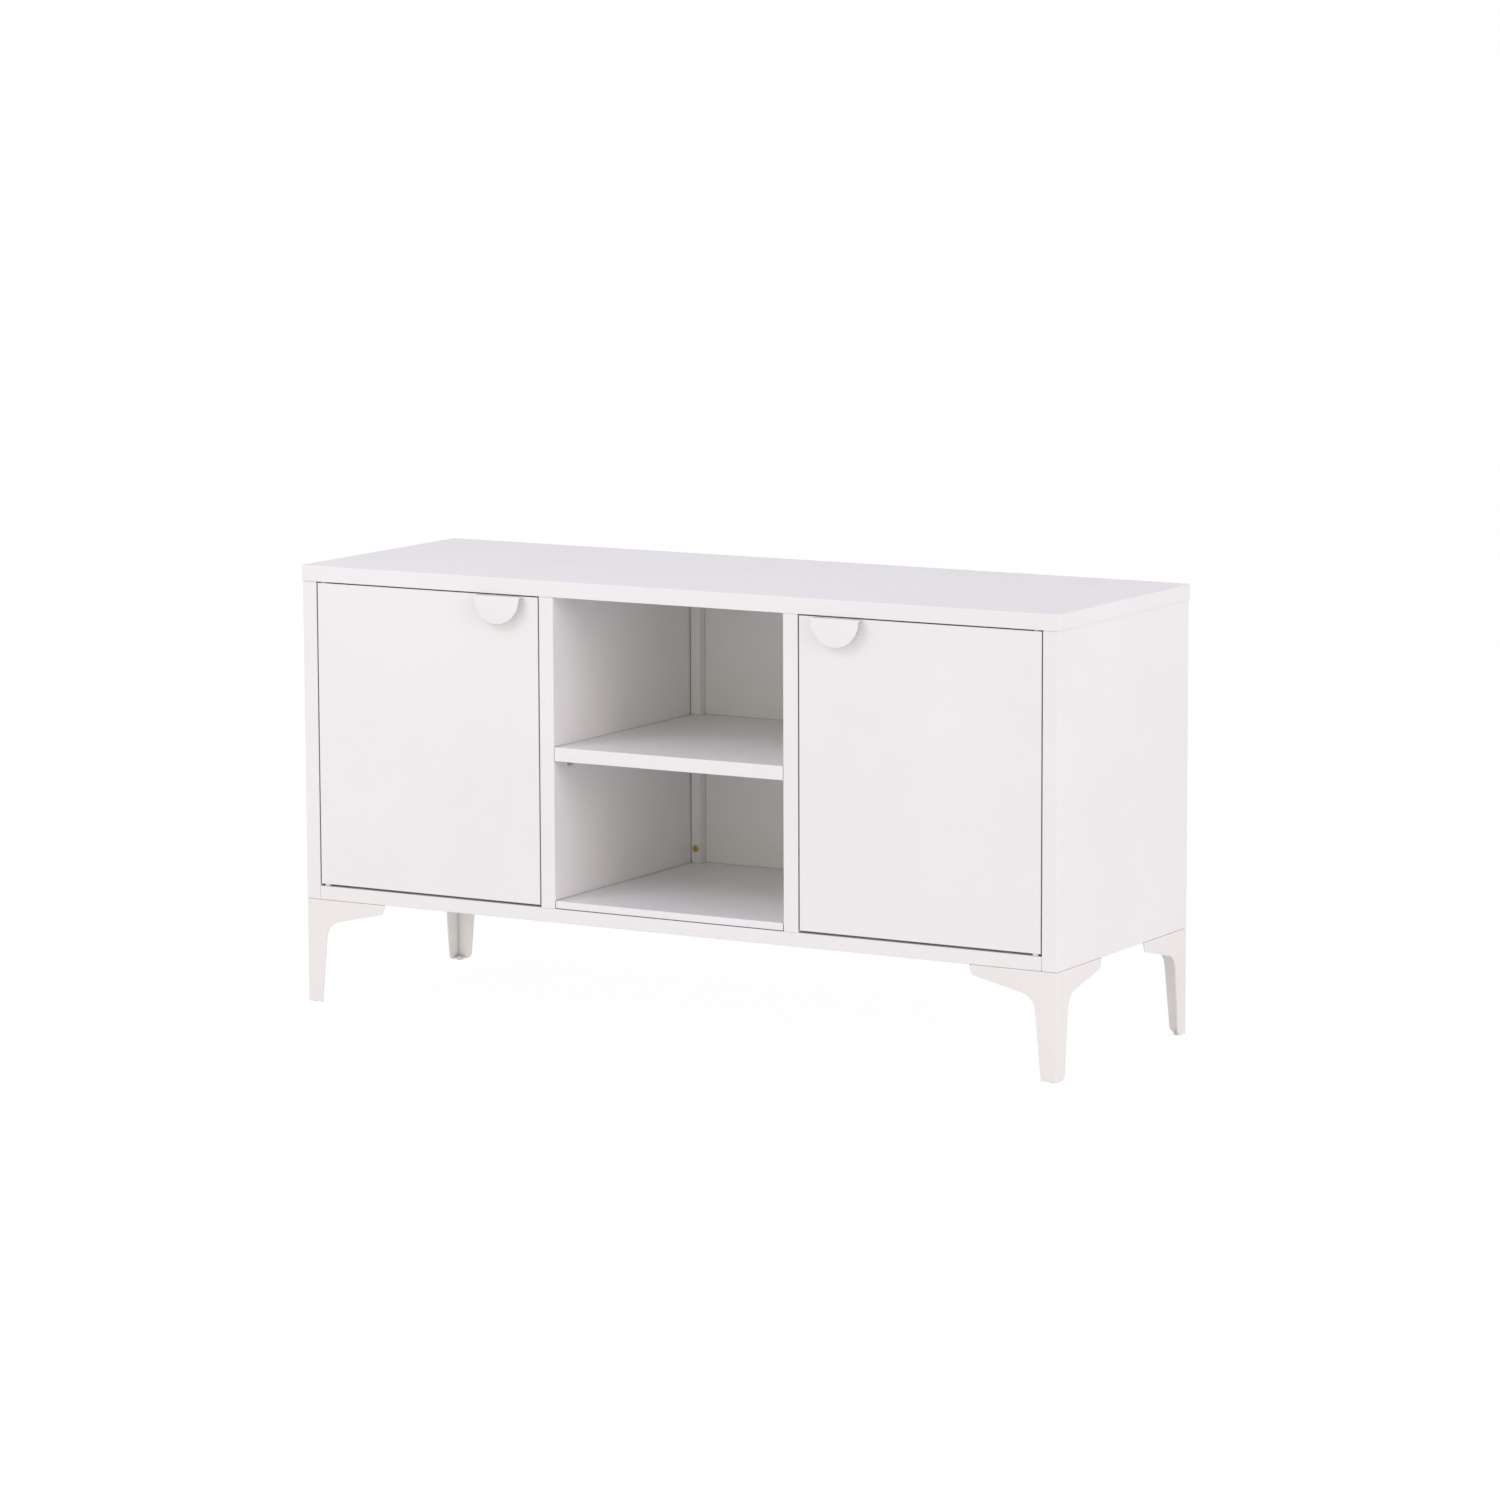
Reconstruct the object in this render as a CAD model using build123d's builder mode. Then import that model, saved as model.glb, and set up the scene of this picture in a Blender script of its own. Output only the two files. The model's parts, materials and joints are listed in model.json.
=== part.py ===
from build123d import *
import os

os.makedirs("parts", exist_ok=True)

# A sheet-steel TV stand: open centre bay with a shelf, a cupboard with an inset door on each side, and four
# folded legs. Millimetres, +Z up, front towards -Y, origin on the floor under the middle of the whole stand.

# ---------------------------------------------------------------- driving dimensions
top_width = 1200.0
top_depth = 392.6
top_edge = 22.3            # height of the top's folded edge
carcass_height = 477.0     # carcass underside to top surface
leg_height = 149.0         # floor to carcass underside, glide included

sheet = 0.8                # carcass, door and shelf sheet
leg_sheet = 2.0
handle_sheet = 1.5
clip_sheet = 1.5
bend_radius = 1.2          # outside radius of a fold in the carcass sheet
top_radius = 1.8           # outside radius of the top's folds
top_inner_radius = 0.4     # inside radius under the top, clear of the carcass flanges
tray_gap = 0.5             # between the body and the inside of the top's edge

stile_width = 23.0         # front face of the side panels and dividers
bay_width = 365.0          # clear width between the dividers
lip_depth = 15.0           # return behind a stile
rail_depth = 30.0          # flanges of the top rails
base_rail = 19.5           # height of the base's front rail
base_lip = 20.0            # flanges of the base's front and rear rails
angle_leg = 12.0           # leg of the angles under the ends of the base deck
corner_relief = 24.0       # a divider's foot flange stops this far short of the rear
butt_gap = 0.2             # seam where one folded piece butts another

shelf_thickness = 19.5
shelf_rise = 226.5         # base floor to the shelves' top
floor_thickness = 11.2     # loose floor tray of the centre bay
floor_lift = 0.9           # floor tray's front edge above the base
shelf_gap = 0.4            # each side of the centre shelf
floor_gap = 0.9            # each side of the centre floor tray
cupboard_shelf_gap = 0.8
cupboard_shelf_setback = 26.0

strip_inset = 21.6         # body rear to the front of the centre back panel's strips
strip_width = 14.7
strip_gap = 1.0            # between a strip and its divider
field_recess = 14.0        # strips to the field behind them
tab_width = 14.0
tab_height = 24.0
back_screw_inset = 32.7    # base floor, or top rail, to the nearest screw in a strip

door_side_gap = 1.8
door_top_gap = 1.8
door_bottom_gap = 3.4
door_thickness = 18.0
door_lip = 12.0
hinge_inset = 9.0          # pivot axis from the door's outer edge
hinge_setback = 5.0        # pivot axis behind the door's front
pin_radius = 2.0
pin_reach = 12.0           # length of pin inside the door
pin_head_radius = 4.0
pin_head = 1.2
running_gap = 0.05         # pin in bush, on the radius
bush_radius = 3.5
bush_length = 13.0
bush_flange_radius = 4.6
bush_float = 0.3           # flange to the carcass
top_bush_flange = 1.0
stiffener_width = 60.0
stiffener_flange = 14.0
stiffener_inset = 22.0
stiffener_gap = 0.4

handle_radius = 37.0
handle_stand = 12.0        # handle front to door front
handle_inset = 60.7        # handle centre from the door's inner edge
handle_tail = 14.0         # part of the handle's web inside the door
handle_slot_gap = 0.2

leg_reach = 132.0          # wing length along the carcass
leg_end_slope = 5.0
leg_end_drop = 14.0
leg_crotch = 34.4          # stem width where it meets the wing
leg_crotch_drop = 35.0
leg_foot = 23.6            # stem width at the foot
leg_crotch_radius = 25.0
leg_end_radius = 3.0
leg_foot_radius = 9.0
leg_bend_radius = 2.2
leg_top_radius = 1.8
leg_flange = 22.0
leg_bolt_first = 50.0      # bolts from the leg's corner, along each flange
leg_bolt_second = 110.0
glide_radius = 5.4
glide_height = 1.2
foot_tab = 15.0

bolt_radius = 3.0          # M6
bolt_gap = 0.2
bolt_head_radius = 5.25
bolt_head = 3.3
bolt_length = 12.0
nut_flats = 10.0
nut_height = 5.0
thread_gap = 0.1
screw_radius = 2.0         # M4
screw_head_radius = 4.0
screw_head = 1.2
screw_length = 9.0
divider_screw_reach = 3.0  # above the base
stud_length = 10.0         # studs under the top
stud_spread = 190.0        # between the two studs, or the two screws, over one flange
stud_nut_flats = 7.0
stud_nut_height = 3.2
back_screw_head_radius = 5.0
back_screw_head = 2.4

catch_width = 40.0
catch_depth = 11.0
catch_height = 13.0
catch_inset = 12.0         # from the divider
catch_gap = 0.4            # magnet to the closed door
magnet_width = 26.0
magnet_depth = 5.0
magnet_height = 7.0
magnet_proud = 0.2

clip_width = 14.0
clip_height = 11.0
clip_reach = 12.0
clip_screw_head_radius = 3.0
clip_front = 42.0          # from the body front to the front clips
clip_rear = 52.0           # from the body rear to the rear clips

port_radius = 25.0         # cable port
port_rise = 60.0           # port centre above the shelf or floor
grommet_flange = 31.0
grommet_wall = 2.0
grommet_lip = 1.6
grommet_depth = 6.0

# ---------------------------------------------------------------- derived planes
body_half = top_width / 2 - sheet - tray_gap
body_depth = top_depth - 2 * (sheet + tray_gap)
centre_y = (body_depth / 2 + handle_stand - top_depth / 2) / 2
front = centre_y - body_depth / 2
rear = centre_y + body_depth / 2
stile_inner = body_half - stile_width
skin_inner = body_half - sheet

bottom = leg_height
top = leg_height + carcass_height
under_top = top - sheet
rail_bottom = top - top_edge
base_top = bottom + base_rail

divider_inner = bay_width / 2
divider_outer = divider_inner + stile_width
shelf_top = base_top + shelf_rise
shelf_bottom = shelf_top - shelf_thickness
floor_top = base_top + floor_thickness

strip_front = rear - strip_inset
field_front = strip_front + field_recess
strip_outer = divider_inner - strip_gap
strip_inner = strip_outer - strip_width
strip_screw_x = (strip_outer + strip_inner) / 2
strip_screw_z = (base_top + back_screw_inset, rail_bottom - back_screw_inset)

door_inner = divider_outer + door_side_gap
door_outer = stile_inner - door_side_gap
door_bottom = base_top + door_bottom_gap
door_top = rail_bottom - door_top_gap
door_rear = front + door_thickness
hinge_x = door_outer - hinge_inset
hinge_y = front + hinge_setback

handle_x = door_inner + handle_inset
web_top = door_top - sheet
stem_bottom = glide_height
glide_inset = leg_sheet + foot_tab / 2 - 1.0

SIDES = {"left": -1, "right": 1}
ENDS = {"front": -1, "rear": 1}


# ---------------------------------------------------------------- helpers
def slab(x, y, z, mode=Mode.ADD):
    """A box of the current part between the given pairs of planes."""
    with Locations(((x[0] + x[1]) / 2, (y[0] + y[1]) / 2, (z[0] + z[1]) / 2)):
        Box(abs(x[1] - x[0]), abs(y[1] - y[0]), abs(z[1] - z[0]), mode=mode)


def rod(centre, radius, z, mode=Mode.ADD):
    """An upright cylinder of the current part between two heights."""
    with Locations((centre[0], centre[1], (z[0] + z[1]) / 2)):
        Cylinder(radius, abs(z[1] - z[0]), mode=mode)


def spindle(centre, radius, y, mode=Mode.ADD):
    """A cylinder of the current part along Y between two depths."""
    with Locations(Location((centre[0], (y[0] + y[1]) / 2, centre[1]), (90, 0, 0))):
        Cylinder(radius, abs(y[1] - y[0]), mode=mode)


def leg_corner(side, end):
    """Outer corner of the body at one leg."""
    return side * body_half, front if end < 0 else rear


def leg_bolt_points(side, end):
    """Bolt centres along the two flanges of one leg."""
    x, y = leg_corner(side, end)
    middle = leg_flange / 2
    points = []
    for reach in (leg_bolt_first, leg_bolt_second):
        points.append((x - side * reach, y - end * middle))
        points.append((x - side * middle, y - end * reach))
    return points


def glide_point(side, end):
    """Centre of the glide under one leg."""
    x, y = leg_corner(side, end)
    return x - side * glide_inset, y - end * glide_inset


def top_stud_points():
    """Studs under the top, over the side panels' and dividers' top flanges."""
    flange_x = (body_half - stile_width / 2, divider_inner + stile_width / 2)
    flange_rows = (centre_y - stud_spread / 2, centre_y + stud_spread / 2)
    return [(s * x, y) for s in SIDES.values() for x in flange_x for y in flange_rows]


def divider_screw_points():
    """Screws that come up through the base into the dividers' feet."""
    x = divider_inner + stile_width / 2
    return [(s * x, centre_y + way * stud_spread / 2) for s in SIDES.values() for way in (-1, 1)]


# ---------------------------------------------------------------- top
with BuildPart() as top_panel:
    outer_x = top_width / 2
    outer_y = top_depth / 2
    slab((-outer_x, outer_x), (centre_y - outer_y, centre_y + outer_y), (rail_bottom, top))
    fillet(top_panel.edges().filter_by(Axis.Z), top_radius)
    fillet(top_panel.faces().sort_by(Axis.Z)[-1].edges(), top_radius - 0.1)
    inner_x = outer_x - sheet
    inner_y = outer_y - sheet
    with BuildPart(mode=Mode.SUBTRACT) as hollow:
        slab((-inner_x, inner_x), (centre_y - inner_y, centre_y + inner_y), (rail_bottom, under_top))
        fillet(hollow.edges().filter_by(Axis.Z), top_radius - sheet)
        fillet(hollow.faces().sort_by(Axis.Z)[-1].edges(), top_inner_radius)
    for stud in top_stud_points():
        rod(stud, screw_radius, (under_top - stud_length, under_top))
top_panel.part.label = "top_panel"
export_step(top_panel.part, "parts/top_panel.step")

with BuildPart() as top_nuts:
    for stud in top_stud_points():
        with BuildSketch(Plane.XY.offset(under_top - sheet)):
            with Locations(stud):
                RegularPolygon(stud_nut_flats / 2, 6, major_radius=False)
                Circle(screw_radius + thread_gap, mode=Mode.SUBTRACT)
        extrude(amount=-stud_nut_height)
top_nuts.part.label = "top_nuts"
export_step(top_nuts.part, "parts/top_nuts.step")


# ---------------------------------------------------------------- rails under the top
def make_top_rail(name, end):
    """Channel between the side panels, open to the inside, just behind the top's edge."""
    face = front if end < 0 else rear
    back = face - end * rail_depth
    length = stile_inner - butt_gap
    with BuildPart() as rail:
        slab((-length, length), (face, back), (rail_bottom, under_top))
        slab((-length, length), (face - end * sheet, back), (rail_bottom + sheet, under_top - sheet),
             Mode.SUBTRACT)
        if end < 0:
            for side in SIDES.values():
                rod((side * hinge_x, hinge_y), pin_radius, (rail_bottom, rail_bottom + sheet), Mode.SUBTRACT)
    rail.part.label = name
    export_step(rail.part, f"parts/{name}.step")


for end_name, end in ENDS.items():
    make_top_rail(f"top_rail_{end_name}", end)


# ---------------------------------------------------------------- side panels
def make_side_panel(name, side):
    """Pan with its skin outside, a full-height front stile with a return, and flanges all round."""
    with BuildPart() as panel:
        slab((side * stile_inner, side * body_half), (front, rear), (bottom, under_top))
        fillet(panel.edges().filter_by(Axis.Z), bend_radius)
        fillet(panel.faces().sort_by(Axis.Z)[0].edges(), bend_radius - 0.1)
        slab(
            (side * stile_inner, side * skin_inner),
            (front + sheet, rear - sheet),
            (bottom + sheet, under_top - sheet),
            Mode.SUBTRACT,
        )
        slab(
            (side * stile_inner, side * (stile_inner + sheet)),
            (front + bend_radius, front + lip_depth),
            (bottom, under_top),
        )
        for end in ENDS.values():
            for x, y in leg_bolt_points(side, end):
                if abs(x) > stile_inner:
                    rod((x, y), bolt_radius + bolt_gap, (bottom, bottom + sheet), Mode.SUBTRACT)
        for x, y in top_stud_points():
            if abs(x) > stile_inner and x * side > 0:
                rod((x, y), screw_radius + bolt_gap, (under_top - sheet, under_top), Mode.SUBTRACT)
    panel.part.label = name
    export_step(panel.part, f"parts/{name}.step")


for side_name, side in SIDES.items():
    make_side_panel(f"side_panel_{side_name}", side)


# ---------------------------------------------------------------- base
rail_half = stile_inner - butt_gap


def make_base_rail(name, end):
    """Channel across the stand between the side panels, open to the inside, with the legs bolted to its lip."""
    face = front if end < 0 else rear
    back = face - end * base_lip
    with BuildPart() as rail:
        slab((-rail_half, rail_half), (face, back), (bottom, base_top))
        outer_face = rail.faces().sort_by(Axis.Y)[0 if end < 0 else -1]
        fillet(outer_face.edges().filter_by(Axis.X), bend_radius)
        slab((-rail_half, rail_half), (face - end * sheet, back), (bottom + sheet, base_top - sheet),
             Mode.SUBTRACT)
        for side in SIDES.values():
            for x, y in leg_bolt_points(side, end):
                if abs(x) < stile_inner:
                    rod((x, y), bolt_radius + bolt_gap, (bottom, bottom + sheet), Mode.SUBTRACT)
            if end < 0:
                rod((side * hinge_x, hinge_y), pin_radius, (base_top - sheet, base_top), Mode.SUBTRACT)
    rail.part.label = name
    export_step(rail.part, f"parts/{name}.step")


for end_name, end in ENDS.items():
    make_base_rail(f"base_rail_{end_name}", end)

deck_ends = (front + lip_depth + butt_gap, rear - sheet - butt_gap)
with BuildPart() as base_deck:
    deck_z = (base_top - sheet, base_top)
    slab((-rail_half, rail_half), (front + base_lip, rear - base_lip), deck_z)
    for side in SIDES.values():
        slab((side * rail_half, side * skin_inner), deck_ends, deck_z)
    for point in divider_screw_points():
        rod(point, screw_radius + bolt_gap, deck_z, Mode.SUBTRACT)
base_deck.part.label = "base_deck"
export_step(base_deck.part, "parts/base_deck.step")

for side_name, side in SIDES.items():
    with BuildPart() as base_angle:
        slab((side * (skin_inner - angle_leg), side * skin_inner), deck_ends,
             (base_top - 2 * sheet, base_top - sheet))
        slab((side * (skin_inner - sheet), side * skin_inner), deck_ends,
             (bottom + sheet + butt_gap, base_top - sheet))
    base_angle.part.label = f"base_angle_{side_name}"
    export_step(base_angle.part, f"parts/base_angle_{side_name}.step")


# ---------------------------------------------------------------- dividers
def make_divider(name, side):
    """Pan with its skin towards the open bay, notched round the top rails, with tabs for the back panel."""
    notch = rail_depth + butt_gap
    with BuildPart() as divider:
        slab((side * divider_inner, side * divider_outer), (front, rear), (base_top, under_top))
        fillet(divider.edges().filter_by(Axis.Z), bend_radius)
        slab(
            (side * (divider_inner + sheet), side * divider_outer),
            (front + sheet, rear - sheet),
            (base_top + sheet, under_top - sheet),
            Mode.SUBTRACT,
        )
        slab(
            (side * (divider_outer - sheet), side * divider_outer),
            (front + bend_radius, front + lip_depth),
            (base_top, rail_bottom),
        )
        for face, end in ((front, -1), (rear, 1)):
            slab(
                (side * divider_inner, side * divider_outer),
                (face, face - end * notch),
                (rail_bottom, under_top),
                Mode.SUBTRACT,
            )
        slab(
            (side * (divider_inner + sheet), side * divider_outer),
            (rear - corner_relief, rear - sheet),
            (base_top, base_top + sheet),
            Mode.SUBTRACT,
        )
        for z in strip_screw_z:
            slab(
                (side * (divider_inner - tab_width), side * (divider_inner + sheet / 2)),
                (strip_front + sheet, strip_front + 2 * sheet),
                (z - tab_height / 2, z + tab_height / 2),
            )
            spindle((side * strip_screw_x, z), screw_radius + thread_gap,
                    (strip_front + sheet, strip_front + 2 * sheet), Mode.SUBTRACT)
        for x, y in divider_screw_points():
            if x * side > 0:
                rod((x, y), screw_radius + thread_gap, (base_top, base_top + sheet), Mode.SUBTRACT)
        for x, y in top_stud_points():
            if abs(x) < divider_outer and x * side > 0:
                rod((x, y), screw_radius + bolt_gap, (under_top - sheet, under_top), Mode.SUBTRACT)
    divider.part.label = name
    export_step(divider.part, f"parts/{name}.step")


for side_name, side in SIDES.items():
    make_divider(f"divider_{side_name}", side)

with BuildPart() as divider_screws:
    for point in divider_screw_points():
        rod(point, screw_head_radius, (base_top - sheet - 2 * screw_head, base_top - sheet))
        rod(point, screw_radius, (base_top - sheet, base_top + divider_screw_reach))
divider_screws.part.label = "divider_screws"
export_step(divider_screws.part, "parts/divider_screws.step")


# ---------------------------------------------------------------- shelf and loose floor of the centre bay
def make_bay_tray(name, z_top, thickness, side_gap, lip, lift):
    """Folded tray that fills the bay from the body front to the back panel, notched round the strips."""
    half = divider_inner - side_gap
    lip_bottom = z_top - thickness + lift
    back = field_front - shelf_gap
    with BuildPart() as tray:
        slab((-half, half), (front, back), (lip_bottom, z_top))
        fillet(tray.faces().sort_by(Axis.Y)[0].edges(), bend_radius)
        if lift > 0:
            slab((-half, half), (front + lip, back), (z_top - thickness, lip_bottom))
        slab((-half + sheet, half - sheet), (front + sheet, back - sheet), (z_top - thickness, z_top - sheet),
             Mode.SUBTRACT)
        slab((-half + sheet, half - sheet), (front + bend_radius, front + lip), (lip_bottom, lip_bottom + sheet))
        for side in SIDES.values():
            slab((side * (strip_inner - sheet - shelf_gap), side * half), (strip_front - shelf_gap, back),
                 (z_top - thickness, z_top), Mode.SUBTRACT)
    tray.part.label = name
    export_step(tray.part, f"parts/{name}.step")


make_bay_tray("centre_shelf", shelf_top, shelf_thickness, shelf_gap, 12.0, 0.0)
make_bay_tray("centre_floor", floor_top, floor_thickness, floor_gap, 8.0, floor_lift)


# ---------------------------------------------------------------- cupboard shelves
def make_cupboard_shelf(name, side):
    """Folded tray between a divider's skin and a side panel's skin, set back behind the door."""
    near = divider_inner + sheet + cupboard_shelf_gap
    far = skin_inner - cupboard_shelf_gap
    start = front + cupboard_shelf_setback
    end = rear - 2 * sheet - cupboard_shelf_gap
    with BuildPart() as shelf:
        slab((side * near, side * far), (start, end), (shelf_bottom, shelf_top))
        fillet(shelf.faces().sort_by(Axis.Y)[0].edges(), bend_radius)
        slab((side * (near + sheet), side * (far - sheet)), (start + sheet, end - sheet),
             (shelf_bottom, shelf_top - sheet), Mode.SUBTRACT)
        slab((side * (near + sheet), side * (far - sheet)), (start + bend_radius, start + 12.0),
             (shelf_bottom, shelf_bottom + sheet))
    shelf.part.label = name
    export_step(shelf.part, f"parts/{name}.step")


for side_name, side in SIDES.items():
    make_cupboard_shelf(f"cupboard_shelf_{side_name}", side)


# ---------------------------------------------------------------- shelf clips
def clip_places(into_bay):
    """Wall plane, direction into the space and depth of each shelf clip."""
    depths = (front + clip_front, rear - clip_rear)
    if into_bay:
        walls = [(side * divider_inner, -side) for side in SIDES.values()]
    else:
        walls = [(side * (divider_inner + sheet), side) for side in SIDES.values()]
        walls += [(side * skin_inner, -side) for side in SIDES.values()]
    return [(wall, way, y) for wall, way in walls for y in depths]


def make_clips(name, into_bay):
    """Angle clips, one solid each, with the shelf on their upper leg and a screw hole in their wall leg."""
    with BuildPart() as clips:
        for wall, way, y in clip_places(into_bay):
            y_span = (y - clip_width / 2, y + clip_width / 2)
            slab((wall, wall + way * clip_sheet), y_span, (shelf_bottom - clip_height, shelf_bottom))
            slab((wall, wall + way * clip_reach), y_span, (shelf_bottom - clip_sheet, shelf_bottom))
            with Locations(Location((wall, y, shelf_bottom - clip_height / 2), (0, 90, 0))):
                Cylinder(screw_radius, 4 * clip_sheet, mode=Mode.SUBTRACT)
    clips.part.label = name
    export_step(clips.part, f"parts/{name}.step")


make_clips("centre_shelf_clips", True)
make_clips("cupboard_shelf_clips", False)

with BuildPart() as clip_screws:
    for wall, way, y in clip_places(True) + clip_places(False):
        z = shelf_bottom - clip_height / 2
        head_start = wall + way * clip_sheet
        with Locations(Location((head_start + way * screw_head, y, z), (0, 90, 0))):
            Cylinder(clip_screw_head_radius, 2 * screw_head)
        with Locations(Location((wall + way * clip_sheet / 2, y, z), (0, 90, 0))):
            Cylinder(screw_radius, clip_sheet)
clip_screws.part.label = "clip_screws"
export_step(clip_screws.part, "parts/clip_screws.step")

# ---------------------------------------------------------------- back panels
port_heights = {"upper": shelf_top + port_rise, "lower": floor_top + port_rise}
with BuildPart() as back_panel_centre:
    z_span = (base_top, rail_bottom)
    slab((-strip_inner, strip_inner), (strip_front, field_front + sheet), z_span)
    slab((-strip_inner + sheet, strip_inner - sheet), (strip_front, field_front), z_span, Mode.SUBTRACT)
    for side in SIDES.values():
        slab((side * (strip_inner - sheet), side * strip_outer), (strip_front, strip_front + sheet), z_span)
        for z in strip_screw_z:
            spindle((side * strip_screw_x, z), screw_radius + thread_gap,
                    (strip_front, strip_front + sheet), Mode.SUBTRACT)
    for z in port_heights.values():
        spindle((0, z), port_radius, (field_front, field_front + sheet), Mode.SUBTRACT)
back_panel_centre.part.label = "back_panel_centre"
export_step(back_panel_centre.part, "parts/back_panel_centre.step")

with BuildPart() as back_screws_centre:
    for side in SIDES.values():
        for z in strip_screw_z:
            spindle((side * strip_screw_x, z), back_screw_head_radius,
                    (strip_front - back_screw_head, strip_front))
            spindle((side * strip_screw_x, z), screw_radius, (strip_front, strip_front + screw_length))
    dome = back_screws_centre.edges().filter_by(GeomType.CIRCLE).group_by(Axis.Y)[0]
    fillet(dome, back_screw_head / 2)
    for side in SIDES.values():
        for z in strip_screw_z:
            spindle((side * strip_screw_x, z), screw_radius, (strip_front - back_screw_head,
                    strip_front - back_screw_head / 3), Mode.SUBTRACT)
back_screws_centre.part.label = "back_screws_centre"
export_step(back_screws_centre.part, "parts/back_screws_centre.step")

for port_name, z in port_heights.items():
    with BuildPart() as grommet:
        spindle((0, z), grommet_flange, (field_front - grommet_lip, field_front))
        fillet(grommet.edges().filter_by(GeomType.CIRCLE).group_by(Axis.Y)[0], grommet_lip / 2)
        spindle((0, z), port_radius, (field_front, field_front + grommet_depth))
        spindle((0, z), port_radius - grommet_wall, (field_front - grommet_lip, field_front + grommet_depth),
                Mode.SUBTRACT)
    grommet.part.label = f"cable_grommet_{port_name}"
    export_step(grommet.part, f"parts/cable_grommet_{port_name}.step")

cupboard_screw_x = (divider_inner + stile_width / 2, body_half - stile_width / 2)
cupboard_screw_z = (base_top + back_screw_inset, (base_top + rail_bottom) / 2, rail_bottom - back_screw_inset)
for side_name, side in SIDES.items():
    with BuildPart() as back_panel:
        slab((side * (divider_inner + sheet + shelf_gap), side * (skin_inner - shelf_gap)),
             (rear - 2 * sheet, rear - sheet), (base_top + sheet, rail_bottom))
    back_panel.part.label = f"back_panel_{side_name}"
    export_step(back_panel.part, f"parts/back_panel_{side_name}.step")

with BuildPart() as back_screws_cupboards:
    for side in SIDES.values():
        for x in cupboard_screw_x:
            for z in cupboard_screw_z:
                spindle((side * x, z), screw_head_radius, (rear, rear + screw_head))
    fillet(back_screws_cupboards.edges().filter_by(GeomType.CIRCLE).group_by(Axis.Y)[-1], screw_head * 0.6)
back_screws_cupboards.part.label = "back_screws_cupboards"
export_step(back_screws_cupboards.part, "parts/back_screws_cupboards.step")


# ---------------------------------------------------------------- doors
def make_door(name, side):
    """Door pan with rolled front edges, returns all round and a lip behind them."""
    x_span = (side * door_inner, side * door_outer)
    handle_centre = side * handle_x
    slot_half = handle_radius + handle_slot_gap
    with BuildPart() as door:
        slab(x_span, (front, door_rear), (door_bottom, door_top))
        fillet(door.faces().sort_by(Axis.Y)[0].edges(), bend_radius)
        slab((side * (door_inner + sheet), side * (door_outer - sheet)), (front + sheet, door_rear - sheet),
             (door_bottom + sheet, door_top - sheet), Mode.SUBTRACT)
        slab((side * (door_inner + door_lip), side * (door_outer - door_lip)), (door_rear - sheet, door_rear),
             (door_bottom + door_lip, door_top - door_lip), Mode.SUBTRACT)
        slab((handle_centre - slot_half, handle_centre + slot_half), (front, front + sheet),
             (web_top - handle_sheet - handle_slot_gap, web_top), Mode.SUBTRACT)
        for z in ((door_bottom, door_bottom + sheet), (door_top - sheet, door_top)):
            rod((side * hinge_x, hinge_y), bush_radius, z, Mode.SUBTRACT)
    door.part.label = name
    export_step(door.part, f"parts/{name}.step")


def make_door_stiffener(name, side):
    """Upright hat section inside the door, its crown against the skin."""
    middle = side * (door_inner + door_outer) / 2
    crown = stiffener_width / 2
    foot = crown + stiffener_flange
    z_span = (door_bottom + stiffener_inset, door_top - stiffener_inset)
    start = front + sheet
    end = door_rear - sheet - stiffener_gap
    with BuildPart() as hat:
        slab((middle - crown, middle + crown), (start, end), z_span)
        slab((middle - crown + sheet, middle + crown - sheet), (start + sheet, end), z_span, Mode.SUBTRACT)
        for way in (-1, 1):
            slab((middle + way * (crown - sheet), middle + way * foot), (end - sheet, end), z_span)
    hat.part.label = name
    export_step(hat.part, f"parts/{name}.step")


def make_handle(name, side):
    """Half-moon plate standing off the door, with a web that runs back through the skin."""
    centre = side * handle_x
    plate_front = front - handle_stand
    plate_top = web_top - handle_sheet
    with BuildPart() as handle:
        spindle((centre, plate_top), handle_radius, (plate_front, plate_front + handle_sheet))
        slab((centre - handle_radius, centre + handle_radius), (plate_front, plate_front + handle_sheet),
             (plate_top, plate_top + handle_radius), Mode.SUBTRACT)
        slab((centre - handle_radius, centre + handle_radius), (plate_front, front + handle_tail),
             (plate_top, web_top))
        fold = handle.edges().filter_by(Axis.X).group_by(Axis.Z)[-1].sort_by(Axis.Y)[0]
        fillet(fold, bend_radius)
    handle.part.label = name
    export_step(handle.part, f"parts/{name}.step")


def make_hinge_bushes(name, side):
    """Flanged nylon bushes in the top and bottom edges of one door."""
    centre = (side * hinge_x, hinge_y)
    lower_flange = door_bottom_gap - bush_float
    with BuildPart() as bushes:
        rod(centre, bush_flange_radius, (door_bottom - lower_flange, door_bottom))
        rod(centre, bush_radius, (door_bottom, door_bottom + bush_length))
        rod(centre, bush_flange_radius, (door_top, door_top + top_bush_flange))
        rod(centre, bush_radius, (door_top - bush_length, door_top))
        rod(centre, pin_radius + running_gap, (base_top, rail_bottom), Mode.SUBTRACT)
    bushes.part.label = name
    export_step(bushes.part, f"parts/{name}.step")


def make_hinge_pins(name, side):
    """Headed pins held in the base and in the front top rail."""
    centre = (side * hinge_x, hinge_y)
    with BuildPart() as pins:
        rod(centre, pin_head_radius, (base_top - sheet - pin_head, base_top - sheet))
        rod(centre, pin_radius, (base_top - sheet, door_bottom + pin_reach))
        rod(centre, pin_head_radius, (rail_bottom + sheet, rail_bottom + sheet + pin_head))
        rod(centre, pin_radius, (door_top - pin_reach, rail_bottom + sheet))
    pins.part.label = name
    export_step(pins.part, f"parts/{name}.step")


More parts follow.
